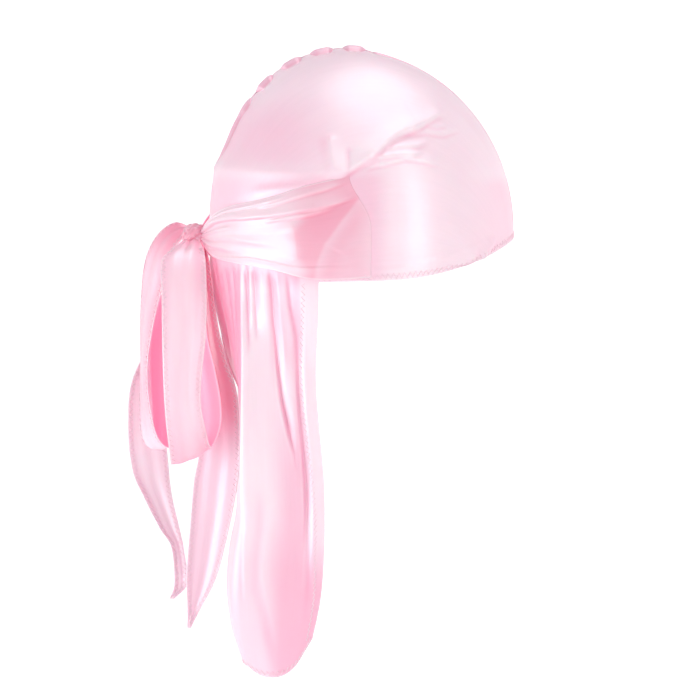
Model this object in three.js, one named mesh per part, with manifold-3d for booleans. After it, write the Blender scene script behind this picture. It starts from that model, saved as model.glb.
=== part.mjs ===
import * as THREE from "three";
import Module from "manifold-3d";

// Durag of thin satin, in the shape it holds when worn and tied behind the head.
// Lengths are in millimetres. +X is the wearer's left, -Y the forehead, +Y the back, +Z up.
// The origin is the middle of the head opening, level with the lower edge over the ears.

const kernel = await Module();
kernel.setup();

// Sizes of the crown
const CROWN_LENGTH = 200;
const CROWN_BREADTH = 156;
const CROWN_HEIGHT = 150;
const WIDEST_LEVEL = 33;
const CROWN_SQUARENESS = 2.05;
const TOP_SET_BACK = 8;
const BACK_SLOPE = 0.05;
const OPENING_TAPER = 0.03;
const FOREHEAD_RISE = 27.7;
const FOREHEAD_ARCH = 2.25;
const HEM_CORNER_BEARING = 50;

// Sizes of the cloth, its hems and the spaces between pieces
const CLOTH = 1.2;
const HEM_EXTRA = 0.5;
const SPACE = 0.3;
const SEAM_THICKNESS = 2.2;
const SEAM_STAND = 3.6;
const RUFFLE_SWAY = 3.6;
const RUFFLE_PITCH = 25;

// Sizes of the hanging tail of the two panels
const TAIL_DROP = 256;
const TAIL_START_BEARING = 110.5;
const TAIL_START_RISE = 24;
const GATHER_ZONE = 60;
const FAR_CORNER_INSET = 5;

// Sizes of the tie, its knot and its bow
const TIE_BREADTH = 30;
const TIE_SEAM_BEARING = 90.4;
const TIE_SEAM_LEAN = 8;
const TIE_END_BEARING = 176;
const TIE_CLEARANCE = 0.5;
const KNOT_BREADTH = 23;
const KNOT_DEPTH = 19;
const KNOT_HEIGHT = 19.4;
const KNOT_BACK = 110.4;
const KNOT_LEVEL = 29;
const BOW_SPREAD = 40;
const BOW_REACH = 40;
const LOOP_DROP = 150;
const END_DROP = 260;

// Names the columns of a table, one object for each row.
function table(columns, rows) {
  return rows.map((row) => Object.fromEntries(columns.map((name, i) => [name, row[i]])));
}

// Lower and upper edge of the tie round the head: bearing from the forehead in degrees,
// edges as shares of the crown height, lift off the crown as a share of the knot depth.
const TIE_EDGES = table(
  ["bearing", "low", "high", "lift"],
  [
    [88, 0.02, 0.49, 0],
    [94, 0.017, 0.484, 0],
    [100, 0.013, 0.457, 0],
    [105, 0.011, 0.44, 0],
    [111, 0.012, 0.425, 0],
    [118, 0.022, 0.406, 0],
    [126, 0.044, 0.376, 0],
    [133, 0.058, 0.358, 0],
    [141, 0.07, 0.343, 0.01],
    [150, 0.082, 0.329, 0.03],
    [159, 0.094, 0.308, 0.05],
    [168, 0.115, 0.272, 0.11],
    [176, 0.178, 0.213, 0.3],
  ],
);

// Pleats of the tie: place as a share of its height, breadth likewise, rise as a share
// of the cloth thickness, and the bearings between which the pleat runs.
const TIE_PLEATS = table(
  ["place", "breadth", "rise", "from", "to"],
  [
    [0.78, 0.06, 1.5, 90, 176],
    [0.93, 0.05, 1.1, 104, 140],
    [0.62, 0.05, 1.2, 100, 150],
    [0.45, 0.06, 0.5, 120, 176],
    [0.1, 0.05, 0.5, 89, 130],
  ],
);

// Folds of the crown beside the tie, in side view: start and end as shares of crown
// length (back) and height, bow and breadth as shares of height, rise of cloth thickness.
const CROWN_FOLDS = table(
  ["back", "level", "endBack", "endLevel", "bow", "breadth", "rise"],
  [
    [0.095, 0.455, -0.22, 0.705, 0.03, 0.046, 2.2],
    [-0.15, 0.625, -0.285, 0.635, 0, 0.036, 1.3],
    [0, 0.52, -0.14, 0.532, 0, 0.034, 1.1],
    [0, 0.483, -0.225, 0.49, 0.03, 0.042, 1.5],
    [0.125, 0.605, 0.112, 0.465, 0, 0.036, 1.2],
    [0.07, 0.565, 0.07, 0.475, 0, 0.034, -1.3],
    [-0.35, 0.07, -0.41, 0.165, 0, 0.036, 1.1],
  ],
);

// Level sections of the hanging tail, half of it: fall as a share of the drop, places to
// the back as shares of half the crown length, to the side of half the crown breadth.
const TAIL_SECTIONS = table(
  ["fall", "middleBack", "cornerBack", "cornerSide", "edgeBack", "edgeSide"],
  [
    [-0.1, 0.98, 0.83, 0.56, 0.345, 0.93],
    [0, 0.962, 0.825, 0.565, 0.345, 0.92],
    [0.08, 0.945, 0.835, 0.615, 0.346, 0.86],
    [0.17, 0.905, 0.84, 0.665, 0.35, 0.81],
    [0.23, 0.86, 0.84, 0.69, 0.35, 0.79],
    [0.29, 0.795, 0.84, 0.71, 0.345, 0.78],
    [0.36, 0.772, 0.84, 0.73, 0.33, 0.77],
    [0.5, 0.765, 0.84, 0.745, 0.296, 0.745],
    [0.61, 0.775, 0.843, 0.73, 0.29, 0.745],
    [0.7, 0.8, 0.89, 0.69, 0.296, 0.745],
    [0.8, 0.82, 0.91, 0.665, 0.316, 0.745],
    [0.905, 0.81, 0.88, 0.64, 0.37, 0.73],
    [0.955, 0.79, 0.84, 0.63, 0.405, 0.72],
    [1, 0.76, 0.78, 0.615, 0.44, 0.705],
  ],
);

// Lower edge of the tail: place across from the middle seam to the front edge, share of drop.
const TAIL_FOOT = table(
  ["across", "fall"],
  [
    [0, 0.98],
    [0.3, 0.985],
    [0.47, 0.975],
    [0.6, 1],
    [0.8, 1],
    [0.93, 0.97],
    [1, 0.905],
  ],
);

// Pleats of the tail under the tie: place across at the top and at the reach, breadth
// across, depth as a share of the cloth thickness, reach as a share of the drop.
const TAIL_PLEATS = table(
  ["place", "endPlace", "breadth", "depth", "reach"],
  [
    [0.14, 0.16, 0.045, 2.2, 0.22],
    [0.31, 0.33, 0.045, 2.6, 0.3],
    [0.535, 0.53, 0.035, 2.6, 0.24],
    [0.6, 0.6, 0.035, 2.2, 0.2],
    [0.71, 0.79, 0.045, 3.2, 0.42],
    [0.82, 0.9, 0.04, 2.8, 0.62],
  ],
);

// Bow and ends: side as a share of the bow spread, back from the knot as a share of the
// bow reach, fall below the knot as a share of the drop, breadth of the tie breadth,
// turn of the breadth from sideways in degrees, dip of its rear edge in degrees.
const RIBBON_COLUMNS = ["side", "back", "fall", "breadth", "turn", "dip"];

const LOOP_RIGHT = table(RIBBON_COLUMNS, [
  [-0.16, -0.01, 0.01, 0.33, 90, 0],
  [-0.22, 0.01, 0.11, 0.47, 90, 0],
  [-0.38, 0.06, 0.28, 0.6, 88, 0],
  [-0.5, 0.09, 0.43, 0.73, 85, 0],
  [-0.57, 0.01, 0.57, 0.83, 82, 0],
  [-0.6, -0.06, 0.71, 0.9, 82, 0],
  [-0.64, -0.05, 0.84, 0.93, 84, 10],
  [-0.79, 0.09, 0.95, 0.95, 86, 26],
  [-0.94, 0.17, 0.87, 0.87, 90, 22],
  [-1, 0.24, 0.74, 0.79, 92, 8],
  [-1, 0.25, 0.61, 0.83, 92, 0],
  [-0.95, 0.22, 0.43, 0.95, 92, 0],
  [-0.8, 0.21, 0.25, 0.98, 92, 0],
  [-0.58, 0.21, 0.11, 0.97, 92, 0],
  [-0.37, 0.13, 0.05, 0.66, 92, 0],
  [-0.2, 0.06, 0.01, 0.3, 90, 0],
]);

const LOOP_LEFT = table(RIBBON_COLUMNS, [
  [0.14, -0.04, -0.02, 0.33, 20, -10],
  [0.2, 0.21, -0.03, 0.6, 20, -32],
  [0.25, 0.46, 0.03, 0.75, 28, -32],
  [0.3, 0.62, 0.13, 0.85, 32, -18],
  [0.35, 0.71, 0.27, 0.87, 26, 0],
  [0.4, 0.78, 0.43, 0.9, 15, 0],
  [0.45, 0.81, 0.59, 0.9, 9, 0],
  [0.47, 0.79, 0.76, 0.9, 14, 0],
  [0.5, 0.71, 0.89, 0.9, 22, 0],
  [0.52, 0.54, 0.93, 0.9, 30, 0],
  [0.5, 0.44, 0.83, 0.93, 38, 0],
  [0.47, 0.44, 0.66, 0.97, 42, 0],
  [0.45, 0.44, 0.46, 0.97, 42, 0],
  [0.37, 0.31, 0.27, 0.87, 42, 0],
  [0.2, 0.09, 0.13, 0.6, 50, 0],
  [0.06, -0.04, 0.02, 0.33, 60, 0],
]);

const END_RIGHT = table(RIBBON_COLUMNS, [
  [-0.05, -0.05, 0.015, 0.3, 75, 0],
  [-0.17, -0.12, 0.07, 0.37, 62, 0],
  [-0.22, -0.17, 0.16, 0.43, 62, 0],
  [-0.26, -0.2, 0.24, 0.57, 64, 0],
  [-0.28, -0.26, 0.32, 0.77, 66, 0],
  [-0.28, -0.36, 0.4, 0.9, 68, 0],
  [-0.27, -0.39, 0.54, 0.93, 70, 0],
  [-0.27, -0.33, 0.62, 1, 72, 0],
  [-0.27, -0.24, 0.725, 0.9, 74, 0],
  [-0.27, -0.1, 0.857, 0.68, 76, 0],
  [-0.27, 0.02, 0.936, 0.31, 78, 0],
  [-0.27, 0.11, 0.99, 0.07, 80, 0],
]);

const END_LEFT = table(RIBBON_COLUMNS, [
  [0.21, 0.03, 0.015, 0.25, 90, 0],
  [0.37, 0.02, 0.07, 0.36, 90, 0],
  [0.6, 0.11, 0.15, 0.53, 90, 0],
  [0.87, 0.34, 0.25, 0.7, 90, 0],
  [1, 0.68, 0.37, 0.83, 90, 0],
  [1.05, 0.74, 0.49, 0.85, 90, 0],
  [1.05, 0.68, 0.6, 0.82, 90, 0],
  [1, 0.56, 0.67, 0.64, 90, 0],
  [0.93, 0.37, 0.75, 0.45, 90, 0],
  [0.85, 0.24, 0.8, 0.28, 90, 0],
  [0.8, 0.19, 0.89, 0.29, 90, 0],
  [0.77, 0.34, 0.93, 0.1, 90, 0],
]);

// Small helpers
const radians = (degrees) => (degrees * Math.PI) / 180;
const clamp = (value, low, high) => Math.min(high, Math.max(low, value));
const mix = (a, b, share) => a + (b - a) * share;
const bell = (distance, breadth) => Math.exp(-((distance / breadth) ** 2));

function ease(low, high, value) {
  const share = clamp((value - low) / (high - low), 0, 1);
  return share * share * (3 - 2 * share);
}

function vector(x, y, z) {
  return new THREE.Vector3(x, y, z);
}

// Reads one column of a table between its rows, bending smoothly through each row.
function read(rows, key, column, at) {
  let i = 0;
  while (i < rows.length - 2 && at > rows[i + 1][key]) i += 1;
  const slope = (k) => {
    const before = rows[Math.max(0, k - 1)];
    const after = rows[Math.min(rows.length - 1, k + 1)];
    return (after[column] - before[column]) / (after[key] - before[key]);
  };
  const span = rows[i + 1][key] - rows[i][key];
  const t = clamp((at - rows[i][key]) / span, 0, 1);
  const rest = 1 - t;
  return (
    rows[i][column] * (1 + 2 * t) * rest * rest +
    rows[i + 1][column] * (3 - 2 * t) * t * t +
    slope(i) * span * t * rest * rest -
    slope(i + 1) * span * rest * t * t
  );
}

// Closed sheet from two facing points at each row and column.
function sheet(rowCount, columnCount, place) {
  const sides = [[], []];
  for (let row = 0; row < rowCount; row += 1) {
    for (let column = 0; column < columnCount; column += 1) {
      const pair = place(row / (rowCount - 1), column / (columnCount - 1));
      sides[0].push(pair[0]);
      sides[1].push(pair[1]);
    }
  }
  const index = [];
  const quad = (a, b, c, d) => index.push(a, b, c, a, c, d);
  const outer = (row, column) => row * columnCount + column;
  const inner = (row, column) => rowCount * columnCount + outer(row, column);
  for (let row = 0; row < rowCount - 1; row += 1) {
    for (let column = 0; column < columnCount - 1; column += 1) {
      const corners = [
        [row, column],
        [row + 1, column],
        [row + 1, column + 1],
        [row, column + 1],
      ];
      quad(...corners.map((corner) => outer(...corner)));
      quad(...corners.map((corner) => inner(...corner)).reverse());
    }
  }
  for (let row = 0; row < rowCount - 1; row += 1) {
    const last = columnCount - 1;
    quad(outer(row + 1, 0), outer(row, 0), inner(row, 0), inner(row + 1, 0));
    quad(outer(row, last), outer(row + 1, last), inner(row + 1, last), inner(row, last));
  }
  for (let column = 0; column < columnCount - 1; column += 1) {
    const last = rowCount - 1;
    quad(outer(0, column), outer(0, column + 1), inner(0, column + 1), inner(0, column));
    quad(
      outer(last, column + 1),
      outer(last, column),
      inner(last, column),
      inner(last, column + 1),
    );
  }
  return facingOut([...sides[0], ...sides[1]], index);
}

// Turns every face outward and makes the geometry.
function facingOut(points, index) {
  let volume = 0;
  for (let i = 0; i < index.length; i += 3) {
    const [a, b, c] = [points[index[i]], points[index[i + 1]], points[index[i + 2]]];
    volume += a.dot(vector(0, 0, 0).crossVectors(b, c));
  }
  if (volume < 0) index.reverse();
  const geometry = new THREE.BufferGeometry();
  geometry.setFromPoints(points);
  geometry.setIndex(index);
  return geometry;
}

function solid(geometry) {
  return new kernel.Manifold(
    new kernel.Mesh({
      numProp: 3,
      vertProperties: new Float32Array(geometry.attributes.position.array),
      triVerts: new Uint32Array(geometry.index.array),
    }),
  );
}

// Takes the grown knot away from a piece that ends inside it.
function trimmedByKnot(geometry) {
  const mesh = solid(geometry).subtract(solid(knotForm(SPACE))).getMesh();
  const trimmed = new THREE.BufferGeometry();
  trimmed.setAttribute("position", new THREE.BufferAttribute(mesh.vertProperties, 3));
  trimmed.setIndex(new THREE.BufferAttribute(mesh.triVerts, 1));
  return trimmed;
}

// Crown surface
// A place on it is a point of a flat round map: its middle is the top of the head and its
// unit circle the widest level, with the straight wall beyond.
const DOME_RISE = CROWN_HEIGHT - WIDEST_LEVEL;
const DOME_ARC = (Math.PI / 4) * (DOME_RISE + CROWN_LENGTH / 2);
const HALF_SEAM = SEAM_THICKNESS / 2 + SPACE;

function mapPlace(bearing, level) {
  const share = clamp((level - WIDEST_LEVEL) / DOME_RISE, 0, 1);
  const radius =
    level < WIDEST_LEVEL
      ? 1 + (WIDEST_LEVEL - level) / DOME_ARC
      : Math.acos(share ** (CROWN_SQUARENESS / 2)) / (Math.PI / 2);
  return [radius * Math.sin(radians(bearing)), -radius * Math.cos(radians(bearing))];
}

function crownPlace(side, a, b) {
  const radius = Math.hypot(a, b);
  const drop = (Math.min(radius, 1) * Math.PI) / 2;
  const power = 2 / CROWN_SQUARENESS;
  const wall = Math.max(0, radius - 1) * DOME_ARC;
  const rise = Math.max(0, Math.cos(drop)) ** power;
  const spread = Math.sin(drop) ** power - OPENING_TAPER * (wall / WIDEST_LEVEL) ** 2;
  const unit = radius > 0 ? spread / radius : 0;
  const across = (a * unit * CROWN_BREADTH) / 2;
  const sloped = b > 0 ? 1 - BACK_SLOPE * ease(0.2, 0.5, rise) : 1;
  return vector(
    side * (HALF_SEAM + across * (1 - HALF_SEAM / (CROWN_BREADTH / 2))),
    (b * unit * sloped * CROWN_LENGTH) / 2 + TOP_SET_BACK * rise * rise,
    WIDEST_LEVEL - wall + DOME_RISE * rise,
  );
}

function crownNormal(side, a, b) {
  const step = 0.002;
  const alongA = crownPlace(side, a + step, b).sub(crownPlace(side, a - step, b));
  const alongB = crownPlace(side, a, b + step).sub(crownPlace(side, a, b - step));
  return alongA.cross(alongB).multiplyScalar(side).normalize();
}

function hemLevel(bearing) {
  const forward = Math.max(0, Math.cos(radians(bearing)));
  const flat = 1 - ease(80, TAIL_START_BEARING, bearing);
  return (FOREHEAD_RISE - 1) * forward ** FOREHEAD_ARCH + flat;
}

function tailStart(across) {
  return {
    bearing: mix(180, TAIL_START_BEARING, across),
    level: TAIL_START_RISE * (1 - across) ** 0.75,
  };
}

// Half crown as a four-sided patch of the map: along runs from forehead to tail,
// across from the middle seam to the hem over the ear.
function crownPatch(along, across) {
  const hemBearing = mix(HEM_CORNER_BEARING, TAIL_START_BEARING, along);
  const frontBearing = HEM_CORNER_BEARING * across;
  const back = tailStart(across);
  const middle = [mapPlace(0, hemLevel(0)), mapPlace(180, TAIL_START_RISE)];
  const corner = [
    mapPlace(HEM_CORNER_BEARING, hemLevel(HEM_CORNER_BEARING)),
    mapPlace(TAIL_START_BEARING, 0),
  ];
  const hem = mapPlace(hemBearing, hemLevel(hemBearing));
  const front = mapPlace(frontBearing, hemLevel(frontBearing));
  const rear = mapPlace(back.bearing, back.level);
  return [0, 1].map((i) => {
    const ruled = mix(mix(middle[0][i], middle[1][i], along), hem[i], across);
    const crossed = mix(front[i], rear[i], along);
    const ends = [mix(middle[0][i], corner[0][i], across), mix(middle[1][i], corner[1][i], across)];
    return ruled + crossed - mix(ends[0], ends[1], along);
  });
}

// Height of the crown folds over the plain crown at one of its points.
function crownRelief(point, bearing) {
  const underTie =
    bearing > TIE_SEAM_BEARING - 3
      ? ease(0, 6, point.z - read(TIE_EDGES, "bearing", "high", bearing) * CROWN_HEIGHT)
      : 1;
  let lift = 0;
  for (const fold of CROWN_FOLDS) {
    const start = [fold.back * CROWN_LENGTH, fold.level * CROWN_HEIGHT];
    const end = [fold.endBack * CROWN_LENGTH, fold.endLevel * CROWN_HEIGHT];
    const run = [end[0] - start[0], end[1] - start[1]];
    const length = Math.hypot(...run);
    const from = [point.y - start[0], point.z - start[1]];
    const share = (from[0] * run[0] + from[1] * run[1]) / length ** 2;
    const above = ((from[1] * run[0] - from[0] * run[1]) / length) * (Math.sign(run[0]) || 1);
    const bowed = fold.bow * CROWN_HEIGHT * 4 * share * (1 - share);
    const ends = ease(-0.12, 0.15, share) * (1 - ease(0.8, 1.15, share));
    const breadth = fold.breadth * CROWN_HEIGHT;
    lift += fold.rise * CLOTH * ends * bell(above - bowed, breadth);
  }
  return lift * underTie;
}

// Hanging tail
function tailPlace(side, across, share) {
  const start = tailStart(across);
  const foot = -read(TAIL_FOOT, "across", "fall", across) * TAIL_DROP;
  const level = mix(start.level, foot, share);
  const fall = -level / TAIL_DROP;
  const half = [CROWN_BREADTH / 2, CROWN_LENGTH / 2];
  const get = (column) => read(TAIL_SECTIONS, "fall", column, fall);
  const inset = side > 0 ? FAR_CORNER_INSET * ease(0.1, 0.3, fall) : 0;
  const middle = [HALF_SEAM, get("middleBack") * half[1]];
  const corner = [get("cornerSide") * half[0], get("cornerBack") * half[1] - inset];
  const edge = [get("edgeSide") * half[0], get("edgeBack") * half[1]];
  const turnAt = 0.47;
  const round = 0.07;
  const past = across - turnAt;
  const bend = past < -round ? 0 : past > round ? past : (past + round) ** 2 / (4 * round);
  const plan = [0, 1].map((i) => {
    const first = (corner[i] - middle[i]) / turnAt;
    const second = (edge[i] - corner[i]) / (1 - turnAt);
    return middle[i] + first * across + (second - first) * bend;
  });
  const top = crownPlace(side, ...mapPlace(start.bearing, start.level));
  const free = ease(0, GATHER_ZONE, start.level - level);
  return vector(mix(top.x, side * plan[0], free), mix(top.y, plan[1], free), level);
}

function tailNormal(side, across, share) {
  const low = Math.max(0, across - 0.01);
  const high = Math.min(1, across + 0.01);
  const sideways = tailPlace(side, high, share).sub(tailPlace(side, low, share));
  const down = tailPlace(side, across, share + 0.01).sub(tailPlace(side, across, share));
  return down.cross(sideways).multiplyScalar(-side).normalize();
}

function tailRelief(across, share) {
  let lift = 0;
  for (const pleat of TAIL_PLEATS) {
    const run = clamp(share / pleat.reach, 0, 1);
    const place = mix(pleat.place, pleat.endPlace, run);
    const strength = ease(0, 0.05, share) * (1 - ease(0.45, 1, run));
    lift -= pleat.depth * CLOTH * strength * bell(across - place, pleat.breadth);
  }
  return lift;
}

// One panel: crown rows, then tail rows.
const CROWN_ROWS = 28;
const TAIL_ROWS = 20;
const PANEL_COLUMNS = 17;

// Draws even shares closer together round one place, by a strength under one.
function crowded(even, place, strength) {
  const swing = (share) => Math.sin(2 * Math.PI * (share - place));
  return even - (strength * (swing(even) - swing(0))) / (2 * Math.PI);
}

function panelPair(side, rowShare, columnShare) {
  const row = Math.round(rowShare * (CROWN_ROWS + TAIL_ROWS - 1));
  const across = crowded(columnShare, 0.62, 0.4);
  const hemmed = HEM_EXTRA * ease(0.9, 0.95, across);
  if (row < CROWN_ROWS) {
    const along = crowded(row / (CROWN_ROWS - 1), 0.5, 0.35);
    const [a, b] = crownPatch(along, across);
    const bearing = (Math.atan2(a, -b) * 180) / Math.PI;
    const normal = crownNormal(side, a, b);
    const point = crownPlace(side, a, b);
    point.addScaledVector(normal, crownRelief(point, bearing));
    return [point, point.clone().addScaledVector(normal, -CLOTH - hemmed)];
  }
  const share = ((row - CROWN_ROWS + 1) / TAIL_ROWS) ** 1.15;
  const normal = tailNormal(side, across, Math.min(share, 0.98));
  const point = tailPlace(side, across, share);
  point.addScaledVector(normal, tailRelief(across, share));
  return [point, point.clone().addScaledVector(normal, -CLOTH - hemmed)];
}

function panel(side) {
  return sheet(CROWN_ROWS + TAIL_ROWS, PANEL_COLUMNS, (row, column) =>
    panelPair(side, row, column),
  );
}

// Middle seam
// Stand of the seam off the cloth: length share from the forehead hem to the tail foot.
const SEAM_COURSE = table(
  ["run", "stand", "sway"],
  [
    [0, 0.12, 0],
    [0.12, 0.14, 0],
    [0.24, 0.3, 0.25],
    [0.28, 0.75, 0.9],
    [0.34, 1, 1],
    [0.42, 1, 0.9],
    [0.47, 0.95, 0.3],
    [0.51, 0.7, 0.1],
    [0.54, 0.3, 0],
    [0.56, 0.06, 0],
    [0.64, 0.06, 0],
    [0.68, 0.25, 0],
    [0.95, 0.3, 0],
    [1, 0.3, 0],
  ],
);

const SEAM_ROWS = 60;
const SEAM_LEVELS = [-1, 0.2, 0.6, 1];

function middlePlace(run) {
  const turning = 0.58;
  if (run < turning) {
    const [, b] = crownPatch(run / turning, 0);
    const point = crownPlace(1, 0, b);
    const normal = crownNormal(1, 0, b);
    return [point.setX(0), normal.setX(0).normalize()];
  }
  const share = (run - turning) / (1 - turning);
  const point = tailPlace(1, 0, share);
  const normal = tailNormal(1, 0, Math.min(share, 0.98));
  return [point.setX(0), normal.setX(0).normalize()];
}

const SEAM_LENGTHS = (() => {
  const lengths = [0];
  for (let i = 1; i <= 400; i += 1) {
    const piece = middlePlace(i / 400)[0].distanceTo(middlePlace((i - 1) / 400)[0]);
    lengths.push(lengths[i - 1] + piece);
  }
  return lengths;
})();

function seamPair(rowShare, levelShare) {
  const [point, normal] = middlePlace(rowShare);
  const stand = read(SEAM_COURSE, "run", "stand", rowShare) * SEAM_STAND;
  const sway = read(SEAM_COURSE, "run", "sway", rowShare) * RUFFLE_SWAY;
  const length = SEAM_LENGTHS[Math.round(rowShare * 400)];
  const wave = Math.sin((2 * Math.PI * length) / RUFFLE_PITCH) * sway;
  const level = SEAM_LEVELS[Math.round(levelShare * (SEAM_LEVELS.length - 1))];
  const lean = wave * Math.max(0, (level - 0.2) / 0.8) ** 1.3;
  const middle = point.addScaledVector(normal, level < 0 ? -CLOTH : stand * level);
  return [1, -1].map((hand) => middle.clone().setX(lean + (hand * SEAM_THICKNESS) / 2));
}

// Tie round the head
function tiePair(side, along, across) {
  const start = TIE_SEAM_BEARING + TIE_SEAM_LEAN * ease(0.45, 1, across);
  const bearing = mix(start, TIE_END_BEARING, along);
  const low = read(TIE_EDGES, "bearing", "low", bearing) * CROWN_HEIGHT;
  const high = read(TIE_EDGES, "bearing", "high", bearing) * CROWN_HEIGHT;
  const place = mapPlace(bearing, mix(low, high, across));
  let lift = read(TIE_EDGES, "bearing", "lift", bearing) * KNOT_DEPTH;
  for (const pleat of TIE_PLEATS) {
    const length = ease(pleat.from, pleat.from + 10, bearing);
    const rest = pleat.to >= TIE_END_BEARING ? 1 : 1 - ease(pleat.to - 10, pleat.to, bearing);
    lift += pleat.rise * CLOTH * length * rest * bell(across - pleat.place, pleat.breadth);
  }
  const gather = ease(0.5, 1, along) * (1 - Math.cos(8 * Math.PI * across)) * 0.4;
  const normal = crownNormal(side, ...place);
  const inner = crownPlace(side, ...place).addScaledVector(normal, TIE_CLEARANCE + lift + gather);
  return [inner.clone().addScaledVector(normal, CLOTH), inner];
}

// Knot with one turn of cloth laid slantwise over it
function knotForm(grow) {
  const rings = 11;
  const spokes = 18;
  const tilt = vector(0.35, 0.62, 0.7).normalize();
  const points = [];
  const place = (polar, around) => {
    const direction = vector(
      Math.sin(polar) * Math.cos(around),
      Math.sin(polar) * Math.sin(around),
      Math.cos(polar),
    );
    const turn = 1.1 * bell(direction.dot(tilt), 0.34);
    const swell = 0.93 + 0.07 * turn;
    const size = [KNOT_BREADTH, KNOT_DEPTH, KNOT_HEIGHT].map((s) => (s / 2) * swell + grow);
    return vector(
      direction.x * size[0],
      KNOT_BACK + direction.y * size[1],
      KNOT_LEVEL + direction.z * size[2],
    );
  };
  points.push(place(0, 0));
  for (let ring = 1; ring < rings; ring += 1) {
    for (let spoke = 0; spoke < spokes; spoke += 1) {
      points.push(place((Math.PI * ring) / rings, (2 * Math.PI * spoke) / spokes));
    }
  }
  points.push(place(Math.PI, 0));
  const index = [];
  const at = (ring, spoke) => 1 + (ring - 1) * spokes + (spoke % spokes);
  for (let spoke = 0; spoke < spokes; spoke += 1) {
    index.push(0, at(1, spoke), at(1, spoke + 1));
    index.push(points.length - 1, at(rings - 1, spoke + 1), at(rings - 1, spoke));
    for (let ring = 1; ring < rings - 1; ring += 1) {
      index.push(at(ring, spoke), at(ring + 1, spoke), at(ring + 1, spoke + 1));
      index.push(at(ring, spoke), at(ring + 1, spoke + 1), at(ring, spoke + 1));
    }
  }
  return facingOut(points, index);
}

// Bow loops and free ends
function ribbonMiddle(rows, drop, along, across) {
  const at = along * (rows.length - 1);
  const counted = rows.map((row, i) => ({ ...row, count: i }));
  const get = (column) => read(counted, "count", column, at);
  const turn = radians(get("turn"));
  const dip = radians(get("dip"));
  const reach = (get("breadth") * TIE_BREADTH * across) / 2;
  return vector(
    get("side") * BOW_SPREAD + reach * Math.cos(turn) * Math.cos(dip),
    KNOT_BACK + get("back") * BOW_REACH + reach * Math.sin(turn) * Math.cos(dip),
    KNOT_LEVEL - get("fall") * drop - reach * Math.sin(dip),
  );
}

function ribbon(rows, drop, rowCount, cup) {
  const places = [-1, -0.8, 0, 0.8, 1];
  return sheet(rowCount, places.length, (along, column) => {
    const across = places[Math.round(column * (places.length - 1))];
    const step = 0.004;
    const low = clamp(along - step, 0, 1);
    const high = clamp(along + step, 0, 1);
    const run = ribbonMiddle(rows, drop, high, across).sub(ribbonMiddle(rows, drop, low, across));
    const wide = ribbonMiddle(rows, drop, along, 1).sub(ribbonMiddle(rows, drop, along, -1));
    const normal = run.cross(wide).normalize();
    const bulge = cup * (1 - across * across) * ease(0, 0.15, along) * (1 - ease(0.9, 1, along));
    const middle = ribbonMiddle(rows, drop, along, across).addScaledVector(normal, bulge);
    const half = (CLOTH + (Math.abs(across) > 0.9 ? HEM_EXTRA : 0)) / 2;
    return [1, -1].map((hand) => middle.clone().addScaledVector(normal, hand * half));
  });
}

// Assembly
const pieces = {
  panel_right: panel(-1),
  panel_left: panel(1),
  centre_seam: sheet(SEAM_ROWS, SEAM_LEVELS.length, seamPair),
  tie_wrap_right: trimmedByKnot(sheet(16, 11, (row, column) => tiePair(-1, row, column))),
  tie_wrap_left: trimmedByKnot(sheet(16, 11, (row, column) => tiePair(1, row, column))),
  knot: knotForm(0),
  loop_right: trimmedByKnot(ribbon(LOOP_RIGHT, LOOP_DROP, 29, 1.6)),
  loop_left: trimmedByKnot(ribbon(LOOP_LEFT, LOOP_DROP, 29, -1.6)),
  tie_end_right: trimmedByKnot(ribbon(END_RIGHT, END_DROP, 22, 1.2)),
  tie_end_left: trimmedByKnot(ribbon(END_LEFT, END_DROP, 22, 1.2)),
};

const durag = new THREE.Group();
durag.name = "durag";
for (const [name, geometry] of Object.entries(pieces)) {
  const material = new THREE.MeshStandardMaterial({ color: 0xf6cfdc, roughness: 0.45 });
  const mesh = new THREE.Mesh(geometry, material);
  mesh.name = name;
  durag.add(mesh);
}

export default durag;
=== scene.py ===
import bmesh
import bpy
import numpy as np
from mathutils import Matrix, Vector


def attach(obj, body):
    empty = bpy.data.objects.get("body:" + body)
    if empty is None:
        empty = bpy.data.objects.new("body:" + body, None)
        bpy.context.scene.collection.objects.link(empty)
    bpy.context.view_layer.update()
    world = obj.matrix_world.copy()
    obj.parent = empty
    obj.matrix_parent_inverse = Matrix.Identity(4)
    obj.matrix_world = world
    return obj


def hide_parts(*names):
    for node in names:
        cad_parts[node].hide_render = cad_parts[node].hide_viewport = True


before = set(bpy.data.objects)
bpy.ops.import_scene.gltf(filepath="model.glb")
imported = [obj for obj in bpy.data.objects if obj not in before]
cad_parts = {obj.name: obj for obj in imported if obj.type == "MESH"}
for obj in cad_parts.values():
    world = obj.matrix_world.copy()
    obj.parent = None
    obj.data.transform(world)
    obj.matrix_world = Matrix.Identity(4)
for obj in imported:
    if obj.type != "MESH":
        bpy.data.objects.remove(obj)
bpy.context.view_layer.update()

# Viewpoint
# The durag is seen from the wearer's right, a little behind square and from two
# degrees above, from three metres away. Lengths in this file are in millimetres.
MM = 0.001
VIEW_PLACE = (-2987.71, 269.01, 58.53)
VIEW_AIM = (-0.945, 7.702, -46.17)
VIEW_BREADTH = 462
VIEW_DISTANCE = 3000
FILM_BREADTH = 36

camera = bpy.data.objects.new("camera", bpy.data.cameras.new("camera"))
bpy.context.scene.collection.objects.link(camera)
camera.location = Vector(VIEW_PLACE) * MM
sight = Vector(VIEW_AIM) - Vector(VIEW_PLACE)
camera.rotation_euler = sight.to_track_quat("-Z", "Y").to_euler()
camera.data.sensor_width = FILM_BREADTH
camera.data.lens = FILM_BREADTH * VIEW_DISTANCE / VIEW_BREADTH
camera.data.clip_start = 0.1
camera.data.clip_end = 60
bpy.context.scene.camera = camera

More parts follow.
